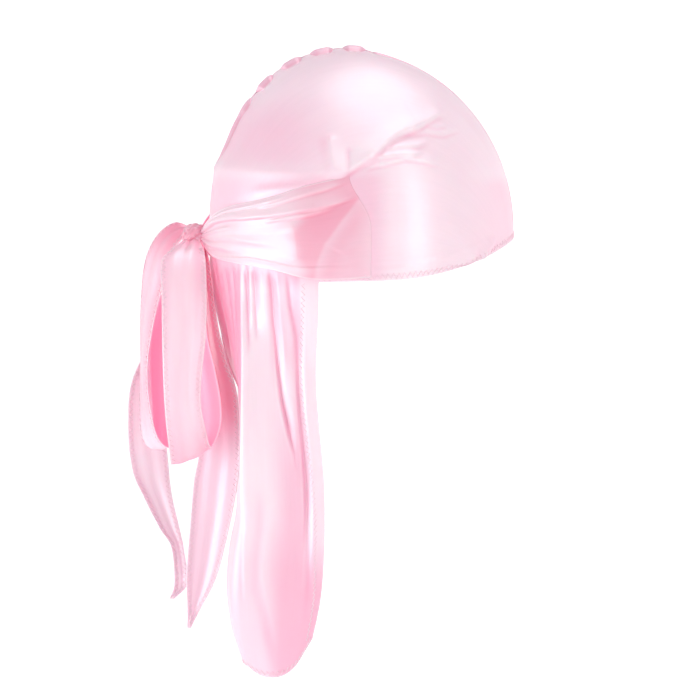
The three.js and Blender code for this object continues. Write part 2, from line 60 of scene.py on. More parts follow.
# Studio
# A pale dish of paper is floor and backdrop in one, so no edge shows from any side. Soft
# lamps: a tall strip before the forehead, a broad one above, a weak one at the side and
# one low behind, which lights the tail.
FLOOR_LEVEL = -330
DISH_PROFILE = [(0, 0), (3600, 0), (4700, 180), (5600, 900), (6000, 2200), (6100, 5000)]
DISH_TURNS = 96
MERGE_REACH = 1e-5
PAPER_COLOUR = (0.6, 0.6, 0.6)
PAPER_ROUGHNESS = 0.9
AIR_COLOUR = (1, 0.99, 1)
AIR_STRENGTH = 0.36
# From and to place in metres, from and to strength: along the view, and upwards.
GLOW_ALONG = (-1, 0.4, 0.38, 0.84)
GLOW_UPWARDS = (0.6, 2.4, 1, 0.25)
# Columns: name, place, aim, two sides, power in watts, colour. Lengths in metres.
LAMPS = [
    ("strip_lamp", (-1.2, -0.75, 0.1), (0, 0, 0), (0.25, 1.3), 4.2, (1, 0.98, 0.95)),
    ("top_lamp", (-0.25, -0.3, 1.5), (0, 0, 0.05), (1.5, 1.1), 12, (1, 0.965, 1)),
    ("side_lamp", (-1.6, 0.3, 1), (0, 0, 0), (0.9, 0.6), 1.2, (1, 0.99, 1)),
    ("rear_lamp", (-0.55, 1.35, -0.12), (0, 0, 0), (0.9, 0.6), 7.5, (0.99, 0.98, 1)),
]
RANGE_SOCKETS = ("From Min", "From Max", "To Min", "To Max")


def settle(mesh, name, smooth=True):
    """Makes a finished mesh an object of the scene."""
    for face in mesh.faces:
        face.smooth = smooth
    data = bpy.data.meshes.new(name)
    mesh.to_mesh(data)
    mesh.free()
    piece = bpy.data.objects.new(name, data)
    bpy.context.scene.collection.objects.link(piece)
    return piece


def new_material(name):
    material = bpy.data.materials.new(name)
    material.use_nodes = True
    nodes = material.node_tree.nodes
    return material, nodes, material.node_tree.links, nodes["Principled BSDF"]


def paper(name):
    """Dull paper that glows, most beyond the durag, less by the viewer and high up."""
    material, nodes, links, shader = new_material(name)
    shader.inputs["Base Color"].default_value = (*PAPER_COLOUR, 1)
    shader.inputs["Roughness"].default_value = PAPER_ROUGHNESS
    shader.inputs["Emission Color"].default_value = (1, 1, 1, 1)
    place = nodes.new("ShaderNodeTexCoord")
    apart = nodes.new("ShaderNodeSeparateXYZ")
    links.new(place.outputs["Object"], apart.inputs[0])
    glow = nodes.new("ShaderNodeMath")
    glow.operation = "MULTIPLY"
    for slot, (axis, course) in enumerate((("X", GLOW_ALONG), ("Z", GLOW_UPWARDS))):
        grade = nodes.new("ShaderNodeMapRange")
        for socket, value in zip(RANGE_SOCKETS, course):
            grade.inputs[socket].default_value = value
        links.new(apart.outputs[axis], grade.inputs["Value"])
        links.new(grade.outputs["Result"], glow.inputs[slot])
    links.new(glow.outputs[0], shader.inputs["Emission Strength"])
    return material


dish_mesh = bmesh.new()
rim = [dish_mesh.verts.new((r * MM, 0, (FLOOR_LEVEL + z) * MM)) for r, z in DISH_PROFILE]
edges = [dish_mesh.edges.new(pair) for pair in zip(rim, rim[1:])]
bmesh.ops.spin(
    dish_mesh,
    geom=rim + edges,
    cent=(0, 0, 0),
    axis=(0, 0, 1),
    angle=2 * np.pi,
    steps=DISH_TURNS,
    use_merge=True,
)
bmesh.ops.remove_doubles(dish_mesh, verts=dish_mesh.verts, dist=MERGE_REACH)
bmesh.ops.recalc_face_normals(dish_mesh, faces=dish_mesh.faces)
dish = settle(dish_mesh, "studio_dish")
dish.data.materials.append(paper("studio_paper"))

for name, place, aim, sides, power, colour in LAMPS:
    lamp = bpy.data.objects.new(name, bpy.data.lights.new(name, "AREA"))
    lamp.data.shape = "RECTANGLE"
    lamp.data.size, lamp.data.size_y = sides
    lamp.data.energy = power
    lamp.data.color = colour
    lamp.location = place
    lamp.rotation_euler = (Vector(aim) - Vector(place)).to_track_quat("-Z", "Y").to_euler()
    bpy.context.scene.collection.objects.link(lamp)

world = bpy.data.worlds.new("studio_air")
world.use_nodes = True
world.node_tree.nodes["Background"].inputs["Color"].default_value = (*AIR_COLOUR, 1)
world.node_tree.nodes["Background"].inputs["Strength"].default_value = AIR_STRENGTH
bpy.context.scene.world = world
bpy.context.scene.view_settings.view_transform = "Standard"

# Panels
# Two lengths of thin polyester satin, mirrored, each making half the close crown and
# half the tail that hangs over the neck. Cut edges are turned once and overlocked.
CROWN_LENGTH = 200
CROWN_BREADTH = 156
CROWN_HEIGHT = 150
WIDEST_LEVEL = 33
CROWN_SQUARENESS = 2.05
TOP_SET_BACK = 8
BACK_SLOPE = 0.05
BACK_SLOPE_RISE = (0.2, 0.5)
OPENING_TAPER = 0.03
FOREHEAD_RISE = 27.7
FOREHEAD_ARCH = 2.25
HEM_CORNER_BEARING = 50
HEM_TURN_BEARING = 80
HALF_SEAM = 0.3
DOME_RISE = CROWN_HEIGHT - WIDEST_LEVEL
DOME_ARC = np.pi / 4 * (DOME_RISE + CROWN_LENGTH / 2)
TAIL_DROP = 256
TAIL_START_BEARING = 110.5
TAIL_START_RISE = 24
TAIL_START_CURVE = 0.75
GATHER_ZONE = 60
FAR_CORNER_INSET = 5
FAR_CORNER_FALL = (0.1, 0.3)
TAIL_TURN = 0.47
TAIL_TURN_ROUND = 0.07
SATIN_THICKNESS = 0.5
PANEL_ROWS = 360
PANEL_COLUMNS = 124
CROWN_SHARE = 0.46
RUFFLE_PITCH = 21
TINY = 1e-9
# Creases: how pointed a crest is, the shares of its line where a crease is up and starts
# to die out, and how far out the hollow at its foot lies.
CREST = 1.35
CREASE_START = 0.18
CREASE_END = 0.72
HOLLOW_FOOT = 1.5
# Creases stop where the tie covers them: from this bearing, and over its upper edge.
COVERED_BEARING = 86
COVERED_RISE = (-1, 5)
# The ridge under the seam, and the puckers beside it.
RIDGE_RISE = 2.2
RIDGE_BREADTH = 8
RIDGE_CURVE = 1.4
RIDGE_BACK = (-14, 4)
RIDGE_LEVEL = (62, 78)
PUCKER_RISE = 0.35
PUCKER_START = 7
PUCKER_REACH = 7
PUCKER_BACK = (-10, 5)
PUCKER_LEVEL = (100, 120)
# The hem's turned cloth: rise, where its step lies above the edge, and where it ends.
HEM_RISE = 0.35
HEM_STEP = (9, 8)
HEM_END_BEARING = (92, 88)
# The tail's gathers are shallow under the tie, and its slack swings slowly.
GATHER_START = 0.04
GATHER_SHALLOW = 0.45
GATHER_FALL = (0.12, 0.36)
SLACK_RISE = 1.1
SLACK_PACE = (9, 5)
SLACK_SHARE = (0.1, 0.6)
# Small uneven waves all over, calmer on the stretched crown.
WAVE_RISE = 0.16
WAVE_LENGTHS = ((9, 23), (31, 11))
CROWN_CALM = 0.4
# Wear: how much of a crest's rise and how much of a bare edge is rubbed.
CREST_RUB = 0.5
CREST_RUB_RISE = (0.7, 2.6)
EDGE_RUB_REACH = (1.6, 0.4)
# Overlock thread: places across the strip, its height there, and the stitches.
THREAD_BREADTH = 0.62
THREAD_ACROSS = (-1, -0.7, 0.7, 1)
THREAD_RISES = (0.2, 0.55, 0.55, 0.2)
STITCH_PITCH = 3.4
OVERLOCK = (1, 3.6)
TAIL_HEM = (9.5, 2.4)
FOOT_HEM = (1, 3)

# Columns: fall, middle back, corner back, corner side, edge back, edge side, in shares.
TAIL_SECTIONS = np.array([
    [-0.1, 0.98, 0.83, 0.56, 0.345, 0.93],
    [0, 0.962, 0.825, 0.565, 0.345, 0.92],
    [0.08, 0.945, 0.835, 0.615, 0.346, 0.86],
    [0.17, 0.905, 0.84, 0.665, 0.35, 0.81],
    [0.23, 0.86, 0.84, 0.69, 0.35, 0.79],
    [0.29, 0.795, 0.84, 0.71, 0.345, 0.78],
    [0.36, 0.772, 0.84, 0.73, 0.33, 0.77],
    [0.5, 0.765, 0.84, 0.745, 0.296, 0.745],
    [0.61, 0.775, 0.843, 0.73, 0.29, 0.745],
    [0.7, 0.8, 0.89, 0.69, 0.296, 0.745],
    [0.8, 0.82, 0.91, 0.665, 0.316, 0.745],
    [0.905, 0.81, 0.88, 0.64, 0.37, 0.73],
    [0.955, 0.79, 0.84, 0.63, 0.405, 0.72],
    [1, 0.76, 0.78, 0.615, 0.44, 0.705],
])
# Columns: place across, fall of the tail's lower edge.
TAIL_FOOT = np.array([
    [0, 0.98], [0.3, 0.985], [0.47, 0.975], [0.6, 1], [0.8, 1], [0.93, 0.97], [1, 0.905],
])
# Columns: bearing, lower edge, upper edge, lift off the crown, of the tie round the head.
TIE_EDGES = np.array([
    [88, 0.02, 0.49, 0], [94, 0.017, 0.484, 0], [100, 0.013, 0.457, 0],
    [105, 0.011, 0.44, 0], [111, 0.012, 0.425, 0], [118, 0.022, 0.406, 0],
    [126, 0.044, 0.376, 0], [133, 0.058, 0.358, 0], [141, 0.07, 0.343, 0.01],
    [150, 0.082, 0.329, 0.03], [159, 0.094, 0.308, 0.05], [168, 0.115, 0.272, 0.11],
    [176, 0.178, 0.213, 0.3],
])

# Creases pulled into the crown by the tie: points (back, level), height, softness above
# the line and below it, and where it isn't the usual one, how pointed the crest is.
CROWN_CREASES = [
    ([(30, 60), (17.9, 69), (6.2, 77.7), (-4.3, 85.1), (-15, 93.8), (-30.6, 99.7), (-44, 108)],
     3.6, 12, 1.5),
    ([(12, 70), (0, 79), (-14, 90), (-27, 95.5)], 1.6, 3, 1.1),
    ([(-20, 95), (-31, 99), (-43, 106), (-54, 109)], 2.0, 4.5, 1.2),
    ([(-22, 95), (-36, 96.5), (-48, 95), (-62, 99)], 2.0, 4, 1.1),
    ([(-36, 101), (-44, 100), (-52, 101)], 1.4, 2.6, 1.1),
    ([(6, 74), (-2.8, 79.3), (-14, 81.2), (-26.5, 81.3), (-36, 84)], 2.0, 5, 1.1),
    ([(8, 71), (0.5, 74.1), (-9, 76.1), (-22, 78.7), (-34, 77.6), (-50, 74.8)], 2.4, 5, 1.1),
    ([(-8, 84), (-18, 87), (-30, 87.5), (-40, 91)], 1.3, 3, 1.1),
    ([(26, 96), (25, 84), (22.4, 66)], 1.2, 4, 3.2),
    ([(15, 88), (15.1, 80), (15.3, 66)], -1.5, 3, 1.8),
    ([(-70, 10), (-73, 14), (-81.3, 24.2), (-84, 30)], 1.6, 3, 1.3),
    ([(-60, 6), (-66, 12), (-70, 22)], 0.8, 3, 1.6),
    ([(84, 116), (90, 104), (94, 92)], 1.1, 2.4, 1.2),
    ([(40, 62), (60, 60), (80, 57)], 0.6, 3, 1.5),
    ([(190, 84), (125, 77), (92, 72.5), (70, 71), (45, 70), (24, 70.5), (-2, 73)], 2.8, 15, 12, 1),
]
# Gathers and long folds of the tail: points (place across, fall), height, softness to
# the front of the line and to its back.
TAIL_CREASES = [
    ([(0.49, -0.1), (0.485, 0.2), (0.475, 0.45), (0.46, 0.7)], 2.0, 0.06, 0.014),
    ([(0.525, -0.06), (0.533, 0.08), (0.53, 0.2)], -2.6, 0.028, 0.016),
    ([(0.56, -0.06), (0.562, 0.12)], 1.4, 0.02, 0.016),
    ([(0.585, -0.06), (0.59, 0.06), (0.592, 0.16)], -2.2, 0.022, 0.015),
    ([(0.645, -0.06), (0.65, 0.1)], 1.7, 0.03, 0.022),
    ([(0.705, -0.08), (0.705, 0.1), (0.752, 0.29), (0.814, 0.42), (0.83, 0.5)], -3.8, 0.035, 0.013),
    ([(0.75, -0.06), (0.765, 0.1), (0.8, 0.25)], 1.4, 0.02, 0.02),
    ([(0.81, -0.08), (0.825, 0.06), (0.862, 0.14), (0.885, 0.5), (0.89, 0.78)], -3.0, 0.04, 0.012),
    ([(0.915, -0.02), (0.92, 0.3), (0.93, 0.6), (0.95, 0.9)], 1.5, 0.03, 0.016),
    ([(0.05, -0.04), (0.06, 0.25)], 1.6, 0.03, 0.02),
    ([(0.12, -0.06), (0.14, 0.24)], -2.4, 0.03, 0.018),
    ([(0.22, -0.06), (0.23, 0.2)], 1.8, 0.03, 0.02),
    ([(0.31, -0.06), (0.33, 0.34)], -2.6, 0.03, 0.018),
    ([(0.4, -0.06), (0.4, 0.22)], -1.8, 0.022, 0.018),
    ([(0.5, 0.6), (0.54, 0.7), (0.57, 0.82)], 1.0, 0.03, 0.012),
    ([(0.62, 0.5), (0.66, 0.75), (0.8, 0.97)], 1.1, 0.07, 0.03),
    ([(0.2, 0.5), (0.24, 0.75), (0.2, 0.95)], 1.2, 0.08, 0.04),
]


def ease(low, high, value):
    """Goes smoothly from 0 at low to 1 at high, whichever of the two is larger."""
    share = np.clip((value - low) / (high - low), 0, 1)
    return share * share * (3 - 2 * share)


def mix(a, b, share):
    return a + (b - a) * share


def read(rows, column, at):
    """A column of a table at places of its first column, bending through each row."""
    keys, values = rows[:, 0], rows[:, column]
    near = np.arange(len(keys))
    before, after = np.maximum(near - 1, 0), np.minimum(near + 1, len(keys) - 1)
    slope = (values[after] - values[before]) / (keys[after] - keys[before])
    i = np.clip(np.searchsorted(keys, at) - 1, 0, len(keys) - 2)
    span = keys[i + 1] - keys[i]
    t = np.clip((at - keys[i]) / span, 0, 1)
    rest = 1 - t
    return (
        values[i] * (1 + 2 * t) * rest * rest
        + values[i + 1] * (3 - 2 * t) * t * t
        + slope[i] * span * t * rest * rest
        - slope[i + 1] * span * rest * t * t
    )


def creases(rows, x, y, hollows=False):
    """Height of all creases of a table over a plain sheet. Each follows a line of points,
    is soft on its right side and sharp on its left, and dies out at both ends. Or how much
    a place lies in the hollow at the foot of their sharp sides, as a mask for painted shade."""
    lift = np.zeros(np.shape(x))
    for points, rise, soft, sharp, *crest in rows:
        points = np.array(points, float)
        steps = np.diff(points, axis=0)
        lengths = np.hypot(*steps.T)
        whole = lengths.sum()
        nearest = np.full(np.shape(x), np.inf)
        aside = np.zeros(np.shape(x))
        run = np.zeros(np.shape(x))
        for k, (start, step) in enumerate(zip(points, steps)):
            dx, dy = x - start[0], y - start[1]
            share = np.clip((dx * step[0] + dy * step[1]) / lengths[k] ** 2, 0, 1)
            gap = np.hypot(dx - share * step[0], dy - share * step[1])
            closer = gap < nearest
            nearest = np.where(closer, gap, nearest)
            hand = np.sign(step[0] * dy - step[1] * dx)
            aside = np.where(closer, gap * hand, aside)
            run = np.where(closer, (lengths[:k].sum() + share * lengths[k]) / whole, run)
        breadth = np.where(aside > 0, sharp, soft)
        ends = ease(0, CREASE_START, run) * (1 - ease(CREASE_END, 1, run))
        power = crest[0] if crest else CREST
        if hollows:
            foot = HOLLOW_FOOT if rise > 0 else 0
            lift += np.abs(rise) * ends * np.exp(-((aside / sharp - foot) ** 2)) * (sharp < soft)
        else:
            lift += rise * ends * np.exp(-(np.abs(aside / breadth) ** power))
    return lift


def map_place(bearing, level):
    """A bearing and level as a point of a flat round map of the crown."""
    bearing, level = np.broadcast_arrays(np.radians(bearing), level)
    share = np.clip((level - WIDEST_LEVEL) / DOME_RISE, 0, 1)
    dome = np.arccos(share ** (CROWN_SQUARENESS / 2)) / (np.pi / 2)
    radius = np.where(level < WIDEST_LEVEL, 1 + (WIDEST_LEVEL - level) / DOME_ARC, dome)
    return radius * np.sin(bearing), -radius * np.cos(bearing)


def crown_place(side, a, b):
    """The plain crown's surface over a point of its map."""
    radius = np.hypot(a, b)
    drop = np.minimum(radius, 1) * np.pi / 2
    power = 2 / CROWN_SQUARENESS
    wall = np.maximum(0, radius - 1) * DOME_ARC
    rise = np.maximum(0, np.cos(drop)) ** power
    spread = np.sin(drop) ** power - OPENING_TAPER * (wall / WIDEST_LEVEL) ** 2
    unit = spread / np.maximum(radius, TINY)
    sloped = np.where(b > 0, 1 - BACK_SLOPE * ease(*BACK_SLOPE_RISE, rise), 1)
    across = a * unit * CROWN_BREADTH / 2
    return np.stack([
        side * (HALF_SEAM + across * (1 - HALF_SEAM / (CROWN_BREADTH / 2))),
        b * unit * sloped * CROWN_LENGTH / 2 + TOP_SET_BACK * rise * rise,
        WIDEST_LEVEL - wall + DOME_RISE * rise,
    ], axis=-1)


def hem_level(bearing):
    forward = np.maximum(0, np.cos(np.radians(bearing)))
    return (FOREHEAD_RISE - 1) * forward ** FOREHEAD_ARCH + 1 - ease(
        HEM_TURN_BEARING, TAIL_START_BEARING, bearing
    )


def tail_start(across):
    rise = TAIL_START_RISE * (1 - across) ** TAIL_START_CURVE
    return mix(180, TAIL_START_BEARING, across), rise


def crown_patch(along, across):
    """Half the crown on its map: along from forehead to tail, across from seam to hem."""
    hem_bearing = mix(HEM_CORNER_BEARING, TAIL_START_BEARING, along)
    front_bearing = HEM_CORNER_BEARING * across
    top_front = map_place(0, hem_level(0))
    top_rear = map_place(180, TAIL_START_RISE)
    corner_front = map_place(HEM_CORNER_BEARING, hem_level(HEM_CORNER_BEARING))
    corner_rear = map_place(TAIL_START_BEARING, 0)
    hem = map_place(hem_bearing, hem_level(hem_bearing))
    front = map_place(front_bearing, hem_level(front_bearing))
    rear = map_place(*tail_start(across))
    return [
        mix(mix(top_front[i], top_rear[i], along), hem[i], across)
        + mix(front[i], rear[i], along)
        - mix(mix(top_front[i], corner_front[i], across),
              mix(top_rear[i], corner_rear[i], across), along)
        for i in range(2)
    ]


def tail_place(side, across, share):
    """The tail's surface: share runs from under the tie to the foot."""
    bearing, top_level = tail_start(across)
    foot = -read(TAIL_FOOT, 1, across) * TAIL_DROP
    level = mix(top_level, foot, share)
    fall = -level / TAIL_DROP
    half_breadth, half_length = CROWN_BREADTH / 2, CROWN_LENGTH / 2
    inset = FAR_CORNER_INSET * ease(*FAR_CORNER_FALL, fall) if side > 0 else 0
    middle = [HALF_SEAM, read(TAIL_SECTIONS, 1, fall) * half_length]
    corner = [
        read(TAIL_SECTIONS, 3, fall) * half_breadth,
        read(TAIL_SECTIONS, 2, fall) * half_length - inset,
    ]
    edge = [
        read(TAIL_SECTIONS, 5, fall) * half_breadth,
        read(TAIL_SECTIONS, 4, fall) * half_length,
    ]
    past = across - TAIL_TURN
    curve = (past + TAIL_TURN_ROUND) ** 2 / (4 * TAIL_TURN_ROUND)
    bend = np.where(past < -TAIL_TURN_ROUND, 0, np.where(past > TAIL_TURN_ROUND, past, curve))
    plan = []
    for m, c, e in zip(middle, corner, edge):
        first, second = (c - m) / TAIL_TURN, (e - c) / (1 - TAIL_TURN)
        plan.append(m + first * across + (second - first) * bend)
    top = crown_place(side, *map_place(bearing, top_level))
    free = ease(0, GATHER_ZONE, top_level - level)
    return np.stack([
        mix(top[..., 0], side * plan[0], free), mix(top[..., 1], plan[1], free), level
    ], axis=-1)


def panel_place(side, along, across):
    crown = crown_place(side, *crown_patch(np.minimum(along / CROWN_SHARE, 1), across))
    share = np.clip((along - CROWN_SHARE) / (1 - CROWN_SHARE), 0, 1)
    tail = tail_place(side, across, share)
    return np.where((along < CROWN_SHARE)[..., None], crown, tail)


def ridge(reach, back, level):
    """The low ridge of the two panels where the ruffled seam pulls them together."""
    near = np.clip(1 - (reach - HALF_SEAM) / RIDGE_BREADTH, 0, 1)
    there = ease(*RIDGE_BACK, back) * ease(*RIDGE_LEVEL, level)
    return RIDGE_RISE * near**RIDGE_CURVE * there


def panel_relief(side, along, across, points):
    """Creases by the tie, gathers under it and the slack of the hanging tail."""
    reach, back, level = np.abs(points[..., 0]), points[..., 1], points[..., 2]
    bearing = np.degrees(np.arctan2(reach, -back))
    over_tie = level - read(TIE_EDGES, 2, bearing) * CROWN_HEIGHT
    clear = np.where(bearing > COVERED_BEARING, ease(*COVERED_RISE, over_tie), 1)
    on_crown = (along < CROWN_SHARE) * clear
    share = np.clip((along - CROWN_SHARE) / (1 - CROWN_SHARE), 0, 1)
    lift = (creases(CROWN_CREASES, back, level) + ridge(reach, back, level)) * on_crown
    pucker = np.sin(2 * np.pi * (back - PUCKER_START) / RUFFLE_PITCH)
    pucker = pucker * np.exp(-(reach - HALF_SEAM) / PUCKER_REACH)
    there = ease(*PUCKER_BACK, back) * ease(*PUCKER_LEVEL, level)
    lift = lift + PUCKER_RISE * pucker * on_crown * there
    over_hem = level - hem_level(bearing)
    turned = ease(*HEM_STEP, over_hem) * (along < CROWN_SHARE)
    lift = lift + HEM_RISE * turned * ease(*HEM_END_BEARING, bearing)
    fall = -level / TAIL_DROP
    folds = creases(TAIL_CREASES, across, fall) * ease(0, GATHER_START, share)
    folds = folds * mix(GATHER_SHALLOW, 1, ease(*GATHER_FALL, fall))
    slack = np.sin(SLACK_PACE[0] * across + SLACK_PACE[1] * share * side)
    slack = SLACK_RISE * slack * ease(*SLACK_SHARE, share)
    (a, b), (c, d) = WAVE_LENGTHS
    waves = WAVE_RISE * np.sin(back / a + level / b) * np.sin(level / d - back / c)
    return lift + folds + slack + waves * (1 - on_crown * CROWN_CALM)


def crowded(even, places):
    """Draws even shares closer together round some places: place, breadth, weight."""
    shares = np.linspace(0, 1, 500)
    close = 1 + sum(w * np.exp(-(((shares - at) / breadth) ** 2)) for at, breadth, w in places)
    count = np.concatenate([[0], np.cumsum((close[1:] + close[:-1]) / 2)])
    return np.interp(even, count / count[-1], shares)


def cloth_mesh(name, rows, columns, place, relief, flat, outside=-1, crowd=None, sewn=False):
    """A sheet of satin from a grid laid on a surface and raised outwards along its normals.
    The map weave holds the flat cloth's size in metres, and the attribute rub says where
    crests and edges rub bare; a sewn sheet has no bare edge where its rows start. Gives the
    piece, its points and its outward normals."""
    sheet = bmesh.new()
    weave = sheet.loops.layers.uv.new("weave")
    bmesh.ops.create_grid(sheet, x_segments=columns, y_segments=rows, size=0.5)
    spots = np.array([vert.co[:2] for vert in sheet.verts]) + 0.5
    across = spots[:, 0].reshape(rows + 1, columns + 1)
    along = spots[:, 1].reshape(rows + 1, columns + 1)
    if crowd:
        along, across = crowd(along, across)
    points = place(along, across)
    raised = relief(along, across, points)
    points = points + outwards(points, outside) * raised[..., None]
    for vert, point in zip(sheet.verts, points.reshape(-1, 3)):
        vert.co = Vector(point) * MM
    threads = np.stack([across * flat[0], along * flat[1]], axis=-1).reshape(-1, 2)
    for face in sheet.faces:
        for loop in face.loops:
            loop[weave].uv = threads[loop.vert.index]
    if outside > 0:
        bmesh.ops.reverse_faces(sheet, faces=sheet.faces)
    piece = settle(sheet, name)
    wall = piece.modifiers.new("wall", "SOLIDIFY")
    wall.thickness = SATIN_THICKNESS * MM
    wall.offset = 0
    wall.material_offset = 1
    wall.material_offset_rim = 1
    start = 1 - along if sewn else np.minimum(along, 1 - along)
    edge = np.minimum(np.minimum(across, 1 - across) * flat[0], start * flat[1]) / MM
    crest = CREST_RUB * ease(*CREST_RUB_RISE, raised)
    set_shade(piece, "rub", crest + ease(*EDGE_RUB_REACH, edge))
    return piece, points, outwards(points, outside)


def outwards(points, outside):
    """Unit normals of a grid of points, on its outer side."""
    normals = np.cross(np.gradient(points, axis=0), np.gradient(points, axis=1))
    size = np.maximum(np.linalg.norm(normals, axis=-1, keepdims=True), TINY)
    return normals * outside / size


def set_shade(piece, name, values):
    """A share from 0 to 1 at each point, for the satin to read."""
    layer = piece.data.attributes.new(name, "FLOAT", "POINT")
    layer.data.foreach_set("value", np.clip(values, 0, 1).astype(np.float32).ravel())


def zigzag(name, points, normals, inset, reach):
    """Overlock thread as a zigzag on a sheet along its last column: a flat ribbed strip
    that runs from corner to corner, inset and reach in from the edge."""
    edge = points[:, -1]
    length = np.concatenate([[0], np.cumsum(np.linalg.norm(np.diff(edge, axis=0), axis=1))])
    count = 2 * int(length[-1] / STITCH_PITCH)
    rows = np.interp(np.linspace(0, length[-1], count + 1), length, np.arange(len(length)))
    corners, lifts = np.zeros((count + 1, 3)), np.zeros((count + 1, 3))
    for k, row in enumerate(rows):
        low = min(int(row), len(points) - 2)
        line = mix(points[low], points[low + 1], row - low)[::-1]
        away = mix(normals[low], normals[low + 1], row - low)[::-1]
        inward = np.concatenate([[0], np.cumsum(np.linalg.norm(np.diff(line, axis=0), axis=1))])
        wanted = inset + reach * (k % 2)
        for axis in range(3):
            corners[k, axis] = np.interp(wanted, inward, line[:, axis])
            lifts[k, axis] = np.interp(wanted, inward, away[:, axis])
    course = np.gradient(corners, axis=0)
    course /= np.maximum(np.linalg.norm(course, axis=1, keepdims=True), TINY)
    aside = np.cross(lifts, course)
    strip = bmesh.new()
    columns = len(THREAD_ACROSS)
    bmesh.ops.create_grid(strip, x_segments=columns - 1, y_segments=count, size=0.5)
    for n, vert in enumerate(strip.verts):
        k, place = divmod(n, columns)
        hand = THREAD_ACROSS[place] * THREAD_BREADTH / 2
        rise = THREAD_RISES[place]
        vert.co = Vector(corners[k] + aside[k] * hand + lifts[k] * rise) * MM
    bmesh.ops.reverse_faces(strip, faces=strip.faces)
    piece = settle(strip, name, smooth=False)
    piece.data.materials.append(stitch_thread)
    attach(piece, "root")
    return piece


# Satin: the sockets with one value, then repeats to a metre across and along the cloth
# and fineness of the weave's long floats, of its uneven threads and of cloudy wear.
SATIN_SOCKETS = {
    "IOR": 1.9,
    "Specular IOR Level": 0.8,
    "Anisotropic": 0.45,
    "Sheen Weight": 0.15,
    "Sheen Roughness": 0.35,
    "Sheen Tint": (1, 0.9, 0.96, 1),
    "Subsurface Weight": 0.35,
    "Subsurface Radius": (1, 0.45, 0.6),
    "Subsurface Scale": 0.002,
}
FLOATS = ((2600, 170, 1), 3)
SLUBS = ((420, 26, 1), 2)
CLOUDS = ((24, 13, 1), 2)
CLOUD_DEPTH = 0.14
CLOUD_RANGE = (0.3, 0.7)
SLUB_TONE = (0.955, 1.02)
SLUB_GLOSS = (-0.05, 0.08)
WORN_ROUGHNESS = 0.1
# Strength, and height in metres.
FLOAT_BUMP = (0.25, 0.00006)
SLUB_BUMP = (0.3, 0.0002)


def satin(name, colour, deep, roughness=0.36, painted_glow=0):
    """Polyester satin: long fine floats along the cloth, a broad soft gloss, and a colour
    that painted shade darkens towards deep, as much as its point attribute says.
    Rubbed crests are paler and duller. The last argument is a painted glow: light emitted
    in the deep colour, standing in for light through and between the thin layers."""
    material, nodes, links, shader = new_material(name)
    for socket, value in SATIN_SOCKETS.items():
        shader.inputs[socket].default_value = value
    place = nodes.new("ShaderNodeUVMap")
    place.uv_map = "weave"
    lay = nodes.new("ShaderNodeTangent")
    lay.direction_type = "UV_MAP"
    lay.uv_map = "weave"
    links.new(lay.outputs["Tangent"], shader.inputs["Tangent"])

    def noise(scale, detail):
        laid = nodes.new("ShaderNodeMapping")
        laid.inputs["Scale"].default_value = scale
        cloud = nodes.new("ShaderNodeTexNoise")
        cloud.inputs["Scale"].default_value = 1
        cloud.inputs["Detail"].default_value = detail
        links.new(place.outputs["UV"], laid.inputs["Vector"])
        links.new(laid.outputs["Vector"], cloud.inputs["Vector"])
        return cloud.outputs["Fac"]

    def attribute(title):
        layer = nodes.new("ShaderNodeAttribute")
        layer.attribute_name = title
        return layer.outputs["Fac"]

    def graded(source, low, high, start=0, end=1):
        grade = nodes.new("ShaderNodeMapRange")
        for socket, value in zip(RANGE_SOCKETS, (start, end, low, high)):
            grade.inputs[socket].default_value = value
        links.new(source, grade.inputs["Value"])
        return grade.outputs["Result"]

    def blend(first, second, share, kind="MIX"):
        mixed = nodes.new("ShaderNodeMix")
        mixed.data_type = "RGBA"
        mixed.blend_type = kind
        for socket, value in ((6, first), (7, second), (0, share)):
            if hasattr(value, "links"):
                links.new(value, mixed.inputs[socket])
            elif socket:
                mixed.inputs[socket].default_value = (*value, 1)
            else:
                mixed.inputs[socket].default_value = value
        return mixed.outputs[2]

    def bumped(height, strength, distance):
        bump = nodes.new("ShaderNodeBump")
        bump.inputs["Strength"].default_value = strength
        bump.inputs["Distance"].default_value = distance
        links.new(height, bump.inputs["Height"])
        return bump

    floats, slubs, clouds = noise(*FLOATS), noise(*SLUBS), noise(*CLOUDS)
    # Painted shade: the colour darkened towards deep as the point attribute says.
    tone = blend(colour, deep, attribute("depth"))
    tone = blend(tone, deep, graded(clouds, 0, CLOUD_DEPTH, *CLOUD_RANGE))
    tone = blend(tone, graded(slubs, *SLUB_TONE), 1, "MULTIPLY")
    worn = nodes.new("ShaderNodeMath")
    worn.operation = "MULTIPLY"
    links.new(attribute("rub"), worn.inputs[0])
    links.new(clouds, worn.inputs[1])
    tone = blend(tone, RUBBED_PINK, worn.outputs[0])
    links.new(tone, shader.inputs["Base Color"])
    # Painted glow: the cloth emits light in the deep colour, though it is no lamp.
    shader.inputs["Emission Color"].default_value = (*deep, 1)
    shader.inputs["Emission Strength"].default_value = painted_glow
    dull = nodes.new("ShaderNodeMath")
    dull.operation = "MULTIPLY_ADD"
    dull.inputs[1].default_value = WORN_ROUGHNESS
    links.new(worn.outputs[0], dull.inputs[0])
    links.new(graded(slubs, *(roughness + step for step in SLUB_GLOSS)), dull.inputs[2])
    links.new(dull.outputs[0], shader.inputs["Roughness"])
    weave = bumped(slubs, *SLUB_BUMP)
    links.new(bumped(floats, *FLOAT_BUMP).outputs["Normal"], weave.inputs["Normal"])
    links.new(weave.outputs["Normal"], shader.inputs["Normal"])
    return material


